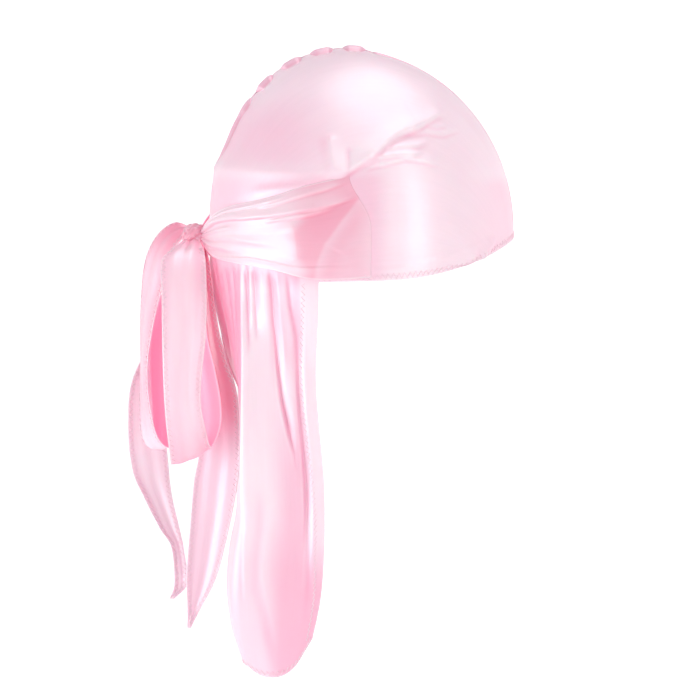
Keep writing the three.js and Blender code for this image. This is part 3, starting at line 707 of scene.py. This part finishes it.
def thread(name, colour):
    """Spun thread of the overlock seams: dull, with the ply showing as a fine ripple."""
    material, nodes, links, shader = new_material(name)
    shader.inputs["Roughness"].default_value = 0.6
    shader.inputs["Sheen Weight"].default_value = 0.3
    place = nodes.new("ShaderNodeTexCoord")
    ply = nodes.new("ShaderNodeTexNoise")
    ply.inputs["Scale"].default_value = 2200
    links.new(place.outputs["Object"], ply.inputs["Vector"])
    tint = nodes.new("ShaderNodeMix")
    tint.data_type = "RGBA"
    tint.inputs[6].default_value = (*colour, 1)
    tint.inputs[7].default_value = (*RUBBED_PINK, 1)
    links.new(ply.outputs["Fac"], tint.inputs[0])
    links.new(tint.outputs[2], shader.inputs["Base Color"])
    bump = nodes.new("ShaderNodeBump")
    bump.inputs["Strength"].default_value = 0.6
    bump.inputs["Distance"].default_value = 0.0001
    links.new(ply.outputs["Fac"], bump.inputs["Height"])
    links.new(bump.outputs["Normal"], shader.inputs["Normal"])
    return material


RUBBED_PINK = (0.95, 0.86, 0.9)
THREAD_PINK = (0.8, 0.42, 0.55)
PANEL_PINK = (0.95, 0.75, 0.83)
# Painted shade darkens the panels towards PANEL_DEEP. The inner side is a deeper pink as painted
# shade, with a painted glow.
PANEL_DEEP = (0.88, 0.39, 0.54)
INSIDE_SHADED_PINK = (0.92, 0.6, 0.7)
panel_satin = satin("panel_satin", PANEL_PINK, PANEL_DEEP)
inside_satin = satin("panel_satin_inside", INSIDE_SHADED_PINK, PANEL_DEEP, 0.5, 0.08)
stitch_thread = thread("stitch_thread", THREAD_PINK)
# Columns: place, breadth, weight of the closer lines of the grid.
CROWDED_ROWS = [(0.5, 0.22, 1.3)]
CROWDED_COLUMNS = [(0.62, 0.17, 1.8), (1, 0.05, 2.6), (0, 0.05, 1.4)]
# Painted shade: its depth, then each measure with where the shade starts and is full.
PANEL_SHADES = [
    # Painted shadow under the bow.
    (1, ("level", 14, -6), ("level", -125, -60), ("across", 0.48, 0.465)),
    # Painted shade on the back of the crown, where it turns away from the light.
    (0.42, ("back", 10, 60), ("level", 66, 78), ("level", 128, 95)),
    # Painted shade by the tie and under it.
    (0.5, ("bearing", 79, 92), ("level", 76, 64), ("level", -6, 6)),
    # Painted shade on the brow.
    (0.34, ("back", -58, -94), ("level", 71, 60)),
]
# Painted shade on the tail: more lower down and over its front part.
TAIL_SHADES = [
    (0.24, ("fall", 0.5, 0.8)),
    (0.62, ("fall", 0.25, 0.5), ("across", 0.62, 0.8)),
]
# The hem strip at the front of the tail is kept out of that painted shade, as it faces the light.
HEM_FACING_LIGHT = [(1, ("fall", 0.8, 0.6), ("across", 0.87, 0.89))]
# Painted shade over the gathers at the top of the tail.
GATHER_SHADES = [(0.35, ("across", 0.66, 0.7), ("across", 0.9, 0.88), ("fall", 0.3, 0.14))]
# Painted shade along two pleats. Columns: depth, place across, breadth, fall where the band ends
# and where it is full.
PLEAT_SHADE_BANDS = [(0.3, 0.735, 0.025, 0.3, 0.14), (0.4, 0.86, 0.025, 0.6, 0.25)]
# Depth of painted shade in the crease hollows of the crown, up to a level, and in the tail's
# gathers.
CREASE_SHADE_DEPTH = 0.16
HOLLOW_TOP = 112
GATHER_SHADE_DEPTH = 0.26


def crowd_panel(along, across):
    """Finer rows and columns where the creases, the seam and the hem lie."""
    crown = crowded(np.minimum(along / CROWN_SHARE, 1), CROWDED_ROWS) * CROWN_SHARE
    return np.where(along < CROWN_SHARE, crown, along), crowded(across, CROWDED_COLUMNS)


def shaded(measures, rows):
    """Depth of painted shade: each row's weight where every measure is past its limits."""
    depth = 0
    for weight, *limits in rows:
        for name, start, full in limits:
            weight = weight * ease(start, full, measures[name])
        depth = depth + weight
    return depth


PANEL_FLAT = (0.19, 0.56)
for side, name in ((-1, "panel_right"), (1, "panel_left")):
    piece, points, normals = cloth_mesh(
        name + "_satin",
        PANEL_ROWS,
        PANEL_COLUMNS,
        lambda along, across: panel_place(side, along, across),
        lambda along, across, points: panel_relief(side, along, across, points),
        PANEL_FLAT,
        outside=-side,
        crowd=crowd_panel,
    )
    along, across = crowd_panel(
        *np.meshgrid(
            np.linspace(0, 1, PANEL_ROWS + 1), np.linspace(0, 1, PANEL_COLUMNS + 1), indexing="ij"
        )
    )
    back, level = points[..., 1], points[..., 2]
    measures = {
        "back": back,
        "level": level,
        "bearing": np.degrees(np.arctan2(np.abs(points[..., 0]), -back)),
        "across": across,
        "fall": -level / TAIL_DROP,
    }
    fall = measures["fall"]
    on_crown, on_tail = along < CROWN_SHARE, along > CROWN_SHARE
    # Painted shade on the tail, kept off the hem strip that faces the light, and over its pleats
    # and gathers.
    lower = shaded(measures, TAIL_SHADES) * (1 - shaded(measures, HEM_FACING_LIGHT))
    pleats = shaded(measures, GATHER_SHADES)
    for depth, at, breadth, end, full in PLEAT_SHADE_BANDS:
        pleats = pleats + depth * np.exp(-(((across - at) / breadth) ** 2)) * ease(end, full, fall)
    # Painted shade in the hollows beside the creases and gathers. The last crease of the crown is a
    # broad swell over the tie and has no hollow.
    hollow = creases(CROWN_CREASES[:-1], back, level, hollows=True)
    hollow = CREASE_SHADE_DEPTH * hollow * (level < HOLLOW_TOP) * on_crown
    gather = GATHER_SHADE_DEPTH * creases(TAIL_CREASES, across, fall, hollows=True)
    tone = shaded(measures, PANEL_SHADES) + (lower + pleats + gather) * on_tail
    set_shade(piece, "depth", tone + hollow)
    piece.data.materials.append(panel_satin)
    piece.data.materials.append(inside_satin)
    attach(piece, "root")
    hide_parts(name)
    # Stitches run down the last column of a grid, so it is turned for brow and foot.
    turn = int(PANEL_ROWS * CROWN_SHARE)
    stitches = [
        zigzag(name + "_brow_thread", points[::-1].transpose(1, 0, 2)[2:],
               normals[::-1].transpose(1, 0, 2)[2:], *OVERLOCK),
        zigzag(name + "_hem_thread", points[:turn], normals[:turn], *OVERLOCK),
        zigzag(name + "_tail_thread", points[turn + 4:-6], normals[turn + 4:-6], *TAIL_HEM),
        zigzag(name + "_foot_thread", points.transpose(1, 0, 2)[2:-2],
               normals.transpose(1, 0, 2)[2:-2], *FOOT_HEM),
    ]

# Centre seam
# The two panels are joined by one seam whose allowances stand up outside, overlocked
# together. On top of the head the stretched thread makes this flap fall to one side and
# the other in short ruffles. Behind, it leans to the right side and below it lies flat.
FLAP_BREADTH = 7.6
FLAP_ROOT = 0.6
FLAP_CURL = 2.3
FLAP_DROP = 2.7
FLAP_LEAST = 0.3
FLAP_OPENING = 0.7
FLAP_TURN = 0.12
FLAP_FAR_CURL = 0.45
FLAP_REST = 0.3
RUFFLE_PHASE = -1.97
SEAM_ROWS = 700
SEAM_ROUND = 22
SEAM_TURN = 0.58
SEAM_WEAVE = (0.013, 0.53)
# Painted shade on the standing flap: its pink is darker than the panels', and darker still towards
# its free edge from this share of its breadth.
SEAM_EDGE_SHADE = (0.12, 0.72)
SEAM_SHADE_FROM = 0.55
SEAM_SHADED_PINK = (0.95, 0.57, 0.69)
SEAM_DEEP = (0.88, 0.3, 0.44)
# Columns: run from forehead to foot, breadth, sway, lean to the right side.
SEAM_COURSE = np.array([
    [0, 0.3, 0, 0.5], [0.2, 0.3, 0, 0.5], [0.245, 0.5, 0.2, 0.5], [0.275, 0.9, 1, 0.6],
    [0.34, 1, 1, 0.6], [0.4, 1, 1, 0.55], [0.43, 0.95, 0.5, 0.5], [0.46, 0.95, 0, 0.6],
    [0.51, 0.8, 0, 0.5], [0.535, 0.3, 0, -0.5], [0.56, 0.2, 0, -0.5], [0.64, 0.2, 0, -0.5],
    [0.7, 0.35, 0, 0.4], [1, 0.35, 0, 0.4],
])


def middle_line(run):
    """Points of the joining line on the cloth, from the forehead to the foot."""
    crown = crown_place(1, *crown_patch(np.minimum(run / SEAM_TURN, 1), 0 * run))
    share = np.clip((run - SEAM_TURN) / (1 - SEAM_TURN), 0, 1)
    tail = tail_place(1, 0 * run, share)
    points = np.where((run < SEAM_TURN)[..., None], crown, tail)
    points[..., 0] = 0
    return points


def seam_place(along, across):
    """The flap's surface, across from its root to its free edge."""
    run = along[:, :1]
    line = middle_line(run)
    step = np.gradient(line, axis=0)
    normal = np.stack([0 * run, -step[..., 2], step[..., 1]], axis=-1)
    normal = normal / np.linalg.norm(normal, axis=-1, keepdims=True)
    length = np.cumsum(np.linalg.norm(step, axis=-1), axis=0)
    wave = np.sin(2 * np.pi * length / RUFFLE_PITCH + RUFFLE_PHASE)
    lean = read(SEAM_COURSE, 2, run) * wave + read(SEAM_COURSE, 3, run)
    opened = np.minimum(1, np.abs(lean)) ** FLAP_OPENING
    breadth = read(SEAM_COURSE, 1, run) * mix(FLAP_LEAST, 1, opened)
    hand = lean / (np.abs(lean) + FLAP_TURN)
    curl = np.where(lean > 0, FLAP_CURL, FLAP_CURL * FLAP_FAR_CURL)
    level = breadth * (curl * np.sin(np.pi * across**FLAP_OPENING) - FLAP_DROP * across**2)
    level = level + ridge(0, line[..., 1], line[..., 2]) + FLAP_REST
    points = line + normal * level[..., None]
    points[..., 0] = hand * (FLAP_ROOT * (1 - across) ** 4 - breadth * FLAP_BREADTH * across)
    return points


seam = cloth_mesh(
    "centre_seam_ruffle",
    SEAM_ROWS,
    SEAM_ROUND,
    seam_place,
    lambda along, across, points: 0 * along,
    SEAM_WEAVE,
)[0]
# Painted shade, deeper towards the flap's free edge.
edge_shade = mix(*SEAM_EDGE_SHADE, ease(SEAM_SHADE_FROM, 1, np.linspace(0, 1, SEAM_ROUND + 1)))
set_shade(seam, "depth", edge_shade * np.ones((SEAM_ROWS + 1, 1)))
seam_satin = satin("seam_satin", SEAM_SHADED_PINK, SEAM_DEEP, 0.42)
seam.data.materials.append(seam_satin)
seam.data.materials.append(seam_satin)
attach(seam, "root")
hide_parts("centre_seam")

# Tie wraps
# The ties grow from the panels over the ears, are broad there and lie folded lengthwise
# round the back of the head, gathered tighter and tighter to the knot.
TIE_SEAM_BEARING = 90.4
TIE_SEAM_LEAN = 8
TIE_LEAN_START = 0.45
TIE_END_BEARING = 176
TIE_FRONT_LIFT = 0.15
TIE_CLEARANCE = 0.8
TIE_LIFTED = 0.1
TIE_FOLDED = 0.05
TIE_FOLD_RISE = 0.9
TIE_GATHERS = 4
TIE_GATHER_RISE = 0.45
KNOT_BREADTH = 23
KNOT_DEPTH = 19
KNOT_HEIGHT = 19.4
KNOT_BACK = 110.4
KNOT_LEVEL = 29
TIE_PINK = (0.95, 0.68, 0.78)
# Painted shade darkens the ties towards TIE_DEEP. Their inner side is a deeper pink as painted
# shade, with a painted glow.
TIE_DEEP = (0.9, 0.28, 0.42)
TIE_INSIDE_SHADED = (0.93, 0.42, 0.57)
TIE_FLAT = (0.076, 0.15)
# Folds: points (bearing, share of height), height, softness above the line and below it.
TIE_CREASES = [
    ([(178, 0.72), (163, 0.78), (143, 0.745), (129, 0.74), (118.7, 0.74), (111.5, 0.735),
      (102, 0.76), (90, 0.8)], 2.6, 0.15, 0.016),
    ([(137, 0.88), (129.6, 0.89), (117.6, 0.897), (107.3, 0.92), (97, 0.95)], 1.8, 0.06, 0.016),
    ([(134, 0.65), (127.6, 0.673), (116.2, 0.677), (109.2, 0.7), (102, 0.73)], 1.5, 0.05, 0.016),
    ([(174, 0.9), (158, 0.91), (140.6, 0.92), (127, 0.935), (117, 0.945)], 1.3, 0.04, 0.014),
    ([(112.5, -0.05), (110.5, 0.18), (107.3, 0.37), (101, 0.58), (95, 0.74)], 0.75, 0.055, 0.04),
    ([(118, 0.1), (118.5, 0.3), (119, 0.5), (122, 0.68)], 1.0, 0.06, 0.09),
    ([(176, 0.45), (150, 0.42), (134, 0.36), (124, 0.3)], 1.2, 0.1, 0.04),
    ([(176, 0.3), (160, 0.24), (146, 0.2)], 0.9, 0.08, 0.03),
    ([(176, 0.58), (165, 0.6), (150, 0.62)], 0.9, 0.05, 0.025),
    ([(104, 0.28), (97, 0.33), (92, 0.3)], 0.35, 0.08, 0.04),
    ([(176, 0.02), (159, 0.05), (141, 0.12), (123, 0.095), (107, 0.125), (88, 0.08)],
     0.55, 0.012, 0.03),
]
# Depth of painted shade: at least; at the front, with the bearings where it changes; in the
# shaded hollow behind it, which starts at these shares of height and bearings and has a wavy
# end; above the main fold; in creases and by the knot.
TIE_LEAST_SHADE = 0.04
TIE_FRONT_SHADE = (0.1, 0.34)
TIE_FRONT_BEARINGS = (89, 97)
TIE_SHADE_DEPTH = 0.78
SHADE_SHARES = [0, 0.18, 0.37, 0.58, 0.74, 0.8]
SHADE_BEARINGS = [112, 110.5, 107.3, 101, 95, 91]
SHADE_SOFTNESS = 1.2
SHADE_END = (122.5, 114.5)
SHADE_WAVES = [(2.2, 9, 1), (1.1, 23, 0)]
TIE_UPPER_SHADE = 0.55
TIE_UPPER_BEARINGS = (126, 110)
TIE_UPPER_SHARES = (0.735, 0.75)
TIE_CREASE_SHADE_DEPTH = 0.22
TIE_KNOT_SHADE = 0.3
TIE_KNOT_START = 0.88
TIE_ROWS = 210
TIE_COLUMNS = 100


def tie_bearing(along, across):
    return mix(TIE_SEAM_BEARING + TIE_SEAM_LEAN * ease(TIE_LEAN_START, 1, across),
               TIE_END_BEARING, along)


def tie_place(side, along, across):
    bearing = tie_bearing(along, across)
    low = read(TIE_EDGES, 1, bearing) * CROWN_HEIGHT
    high = read(TIE_EDGES, 2, bearing) * CROWN_HEIGHT
    return crown_place(side, *map_place(bearing, mix(low, high, across)))


def tie_relief(side, along, across, points):
    bearing = tie_bearing(along, across)
    lift = mix(TIE_FRONT_LIFT, TIE_CLEARANCE, ease(0, TIE_LIFTED, along))
    lift = lift + read(TIE_EDGES, 3, bearing) * KNOT_DEPTH
    folds = creases(TIE_CREASES, bearing / 90, across) * ease(0, TIE_FOLDED, along)
    gather = 1 - np.cos(2 * np.pi * TIE_GATHERS * across + 2 * along)
    return lift + TIE_FOLD_RISE * folds + TIE_GATHER_RISE * ease(0.5, 1, along) * gather


# Bearings are told in quarter turns, so that both ways a crease is about as soft.
for crease in TIE_CREASES:
    crease[0][:] = [(bearing / 90, share) for bearing, share in crease[0]]
tie_satin = satin("tie_satin", TIE_PINK, TIE_DEEP, 0.34)
# A paler copy of the tie satin in the panels' pink: painted light for the left tie end, which faces
# away from the lamps.
tie_painted_light = satin("tie_satin_painted_light", PANEL_PINK, TIE_DEEP, 0.36)
# Inner side: a deeper pink as painted shade, with a painted glow.
tie_inside = satin("tie_satin_inside", TIE_INSIDE_SHADED, TIE_DEEP, 0.45, 0.32)
for side, name in ((-1, "tie_wrap_right"), (1, "tie_wrap_left")):
    piece, points, normals = cloth_mesh(
        name + "_satin",
        TIE_ROWS,
        TIE_COLUMNS,
        lambda along, across: tie_place(side, along, across),
        lambda along, across, points: tie_relief(side, along, across, points),
        TIE_FLAT,
        outside=side,
        sewn=True,
    )
    run = np.linspace(0, 1, TIE_ROWS + 1)[:, None]
    up = np.linspace(0, 1, TIE_COLUMNS + 1)[None, :]
    bearing = tie_bearing(run, up)
    # Painted shade on the tie wrap, darkest in the hollow behind its front.
    start = np.interp(up, SHADE_SHARES, SHADE_BEARINGS)
    front = mix(*TIE_FRONT_SHADE, ease(*TIE_FRONT_BEARINGS, bearing))
    hollow = ease(start - SHADE_SOFTNESS, start + SHADE_SOFTNESS, bearing)
    wavy = bearing + sum(rise * np.sin(pace * up + begin) for rise, pace, begin in SHADE_WAVES)
    tone = mix(front, TIE_SHADE_DEPTH, hollow) * ease(*SHADE_END, wavy)
    upper = TIE_UPPER_SHADE * ease(*TIE_UPPER_BEARINGS, bearing)
    tone = mix(tone, upper, ease(*TIE_UPPER_SHARES, up)) + TIE_LEAST_SHADE
    tone = tone + TIE_KNOT_SHADE * ease(TIE_KNOT_START, 1, run)
    hollow = creases(TIE_CREASES, bearing / 90, up + 0 * run, hollows=True)
    set_shade(piece, "depth", tone + TIE_CREASE_SHADE_DEPTH * hollow)
    piece.data.materials.append(tie_satin)
    piece.data.materials.append(tie_inside)
    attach(piece, "root")
    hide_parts(name)

# Knot
# The two ties crossed and pulled tight behind the head: a small pleated lump with one
# turn of cloth laid slantwise over it.
KNOT_SEGMENTS = (96, 64)
TURN_ACROSS = Vector((0.35, 0.62, 0.7)).normalized()
TURN_ALONG = TURN_ACROSS.orthogonal().normalized()
TURN_BREADTH = 0.3
TURN_RISE = 0.13
KNOT_CORE = 0.87
# Rise and pace of the pleats, on the turn and beside it.
TURN_PLEATS = (0.03, 34)
KNOT_PLEATS = (0.035, 16)
# The groove beside the turn: place, breadth, depth.
GROOVE = (0.42, 0.07, 0.05)
# Depth of painted shade: everywhere, more on the turn, more in the groove.
KNOT_PAINTED_SHADE = (0.5, 0.35, 0.5)
knot_mesh = bmesh.new()
bmesh.ops.create_uvsphere(
    knot_mesh, u_segments=KNOT_SEGMENTS[0], v_segments=KNOT_SEGMENTS[1], radius=1
)
knot_shade = []
for vert in knot_mesh.verts:
    direction = vert.co.normalized()
    beside = direction.dot(TURN_ACROSS)
    turn = float(np.exp(-((beside / TURN_BREADTH) ** 2)))
    pleats = TURN_PLEATS[0] * np.cos(TURN_PLEATS[1] * beside) * turn
    around = direction.dot(TURN_ALONG)
    pleats = pleats + KNOT_PLEATS[0] * np.cos(KNOT_PLEATS[1] * around) * (1 - turn)
    groove = float(np.exp(-(((abs(beside) - GROOVE[0]) / GROOVE[1]) ** 2)))
    swell = KNOT_CORE + TURN_RISE * turn + pleats - GROOVE[2] * groove
    knot_shade.append(KNOT_PAINTED_SHADE[0] + KNOT_PAINTED_SHADE[1] * turn + KNOT_PAINTED_SHADE[2] * groove)
    vert.co = Vector((
        direction.x * swell * KNOT_BREADTH / 2,
        KNOT_BACK + direction.y * swell * KNOT_DEPTH / 2,
        KNOT_LEVEL + direction.z * swell * KNOT_HEIGHT / 2,
    )) * MM
knot_mesh.loops.layers.uv.new("weave")
knot = settle(knot_mesh, "knot_satin")
# Painted shade on the knot.
set_shade(knot, "depth", np.array(knot_shade))
knot.data.materials.append(tie_satin)
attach(knot, "root")
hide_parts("knot")

# Bow
# The rest of each tie: one loop pulled half through the knot and the free end beyond
# it, hanging down. Each tie end is cut slantwise to a point.
TIE_BREADTH = 30
BOW_SPREAD = 40
BOW_REACH = 40
LOOP_DROP = 150
END_DROP = 260
# Columns: side, back, fall, breadth, turn and dip, as shares and degrees.
LOOP_RIGHT = [
    [-0.16, -0.01, 0.01, 0.33, 90, 0], [-0.22, 0.01, 0.11, 0.47, 90, 0],
    [-0.38, 0.06, 0.28, 0.6, 88, 0], [-0.5, 0.09, 0.43, 0.73, 85, 0],
    [-0.57, 0.01, 0.57, 0.83, 82, 0], [-0.6, -0.06, 0.71, 0.9, 82, 0],
    [-0.64, -0.05, 0.84, 0.93, 84, 10], [-0.79, 0.09, 0.95, 0.95, 86, 26],
    [-0.94, 0.17, 0.87, 0.87, 90, 22], [-1, 0.24, 0.74, 0.79, 92, 8],
    [-1, 0.25, 0.61, 0.83, 92, 0], [-0.95, 0.22, 0.43, 0.95, 92, 0],
    [-0.8, 0.21, 0.25, 0.98, 92, 0], [-0.58, 0.21, 0.11, 0.97, 92, 0],
    [-0.37, 0.13, 0.05, 0.66, 92, 0], [-0.2, 0.06, 0.01, 0.3, 90, 0],
]
LOOP_LEFT = [
    [0.14, -0.04, -0.02, 0.33, 20, -10], [0.2, 0.21, -0.03, 0.6, 20, -32],
    [0.25, 0.46, 0.03, 0.75, 28, -32], [0.3, 0.62, 0.13, 0.85, 32, -18],
    [0.35, 0.71, 0.27, 0.87, 26, 0], [0.4, 0.78, 0.43, 0.9, 15, 0],
    [0.45, 0.81, 0.59, 0.9, 9, 0], [0.47, 0.79, 0.76, 0.9, 14, 0],
    [0.5, 0.71, 0.89, 0.9, 22, 0], [0.52, 0.54, 0.93, 0.9, 30, 0],
    [0.5, 0.44, 0.83, 0.93, 38, 0], [0.47, 0.44, 0.66, 0.97, 42, 0],
    [0.45, 0.44, 0.46, 0.97, 42, 0], [0.37, 0.31, 0.27, 0.87, 42, 0],
    [0.2, 0.09, 0.13, 0.6, 50, 0], [0.06, -0.04, 0.02, 0.33, 60, 0],
]
END_RIGHT = [
    [-0.05, -0.05, 0.015, 0.3, 75, 0], [-0.17, -0.12, 0.07, 0.37, 62, 0],
    [-0.22, -0.17, 0.16, 0.43, 62, 0], [-0.26, -0.2, 0.24, 0.57, 64, 0],
    [-0.28, -0.26, 0.32, 0.77, 66, 0], [-0.28, -0.36, 0.4, 0.9, 68, 0],
    [-0.27, -0.39, 0.54, 0.93, 70, 0], [-0.27, -0.33, 0.62, 1, 72, 0],
    [-0.27, -0.24, 0.725, 0.9, 74, 0], [-0.27, -0.1, 0.857, 0.68, 76, 0],
    [-0.27, 0.02, 0.936, 0.31, 78, 0], [-0.27, 0.11, 0.99, 0.07, 80, 0],
]
END_LEFT = [
    [0.21, 0.03, 0.015, 0.25, 90, 0], [0.37, 0.02, 0.07, 0.36, 90, 0],
    [0.6, 0.11, 0.15, 0.53, 90, 0], [0.87, 0.34, 0.25, 0.7, 90, 0],
    [1, 0.68, 0.37, 0.83, 90, 0], [1.05, 0.74, 0.49, 0.85, 90, 0],
    [1.05, 0.68, 0.6, 0.82, 90, 0], [1, 0.56, 0.67, 0.64, 90, 0],
    [0.93, 0.37, 0.75, 0.45, 90, 0], [0.85, 0.24, 0.8, 0.28, 90, 0],
    [0.8, 0.19, 0.89, 0.29, 90, 0], [0.77, 0.34, 0.93, 0.1, 90, 0],
]


def ribbon_place(rows, drop, along, across):
    """A tie's middle line with its breadth turned and dipped as the table says."""
    counted = np.column_stack([np.arange(len(rows)), rows])
    at = along * (len(rows) - 1)
    side, back, fall, breadth, turn, dip = (read(counted, c, at) for c in range(1, 7))
    turn, dip = np.radians(turn), np.radians(dip)
    reach = breadth * TIE_BREADTH * (across - 0.5)
    return np.stack([
        side * BOW_SPREAD + reach * np.cos(turn) * np.cos(dip),
        KNOT_BACK + back * BOW_REACH + reach * np.sin(turn) * np.cos(dip),
        KNOT_LEVEL - fall * drop - reach * np.sin(dip),
    ], axis=-1)


# Columns: name, table, drop, cup, rows, flat size, outer side of the grid.
BOW = [
    ("loop_right", LOOP_RIGHT, LOOP_DROP, 2.2, 260, (0.03, 0.285), 1),
    ("loop_left", LOOP_LEFT, LOOP_DROP, 1.6, 260, (0.03, 0.3), -1),
    ("tie_end_right", END_RIGHT, END_DROP, -1.4, 220, (0.03, 0.26), -1),
    ("tie_end_left", END_LEFT, END_DROP, -1.4, 220, (0.03, 0.26), -1),
]
BOW_COLUMNS = 40
CUP_START = 0.15
CUP_END = 0.9
# How fast the pleats of the knot die out, and their rise far from it and more by it.
KNOT_GRIP = 9
RIBBON_PLEATS = (0.22, 0.495)
RIBBON_RIPPLE = 0.4
RIBBON_STITCHES = (0.8, 2.4)
# Depth of painted shade before and after the middle of each piece's length.
BOW_BASE_SHADE = {
    "loop_right": (0.42, 0.1),
    "loop_left": (0.48, 0.06),
    "tie_end_right": (0.08, 0.08),
    "tie_end_left": (0, 0),
}
BOW_MIDDLE = (0.42, 0.56)
# Further painted shade, first the one of all by the knot, then those of single pieces.
KNOT_SHADE = (0.4, ("level", 12, 34))
BOW_SHADES = {
    "loop_right": [(0.36, ("level", -80, -118)), (0.1, ("level", -40, 10))],
    "tie_end_right": [(0.85, ("level", -118, -78))],
}
for order, (name, rows, drop, cup, count, flat, outside) in enumerate(BOW):
    def bow_relief(along, across, points):
        even = 2 * across - 1
        bulge = cup * (1 - even**2) * ease(0, CUP_START, along) * (1 - ease(CUP_END, 1, along))
        near = np.exp(-KNOT_GRIP * along)
        if "loop" in name:
            near = near + np.exp(-KNOT_GRIP * (1 - along))
        rise = RIBBON_PLEATS[0] + RIBBON_PLEATS[1] * near
        pleats = rise * np.sin(5 * np.pi * across + 3 * along + order)
        ripple = RIBBON_RIPPLE * np.sin(14 * along + 4 * across + 2 * order)
        return bulge + pleats + ripple * ease(0, 0.2, along)

    piece, points, normals = cloth_mesh(
        name + "_satin",
        count,
        BOW_COLUMNS,
        lambda along, across: ribbon_place(rows, drop, along, across),
        bow_relief,
        flat,
        outside=outside,
    )
    run = np.linspace(0, 1, count + 1)[:, None]
    # Painted shade on the loops and tie ends.
    tone = shaded({"level": points[..., 2]}, [KNOT_SHADE, *BOW_SHADES.get(name, [])])
    tone = tone + mix(*BOW_BASE_SHADE[name], ease(*BOW_MIDDLE, run))
    set_shade(piece, "depth", tone)
    # The left tie end takes the paler copy as painted light.
    outer = tie_painted_light if name == "tie_end_left" else tie_satin
    piece.data.materials.append(outer)
    piece.data.materials.append(tie_inside if "loop" in name else outer)
    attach(piece, "root")
    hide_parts(name)
    clear = slice(18, -18 if "loop" in name else -4)
    stitches = [
        zigzag(name + "_front_thread", points[clear, ::-1], normals[clear, ::-1],
               *RIBBON_STITCHES),
        zigzag(name + "_back_thread", points[clear], normals[clear], *RIBBON_STITCHES),
    ]
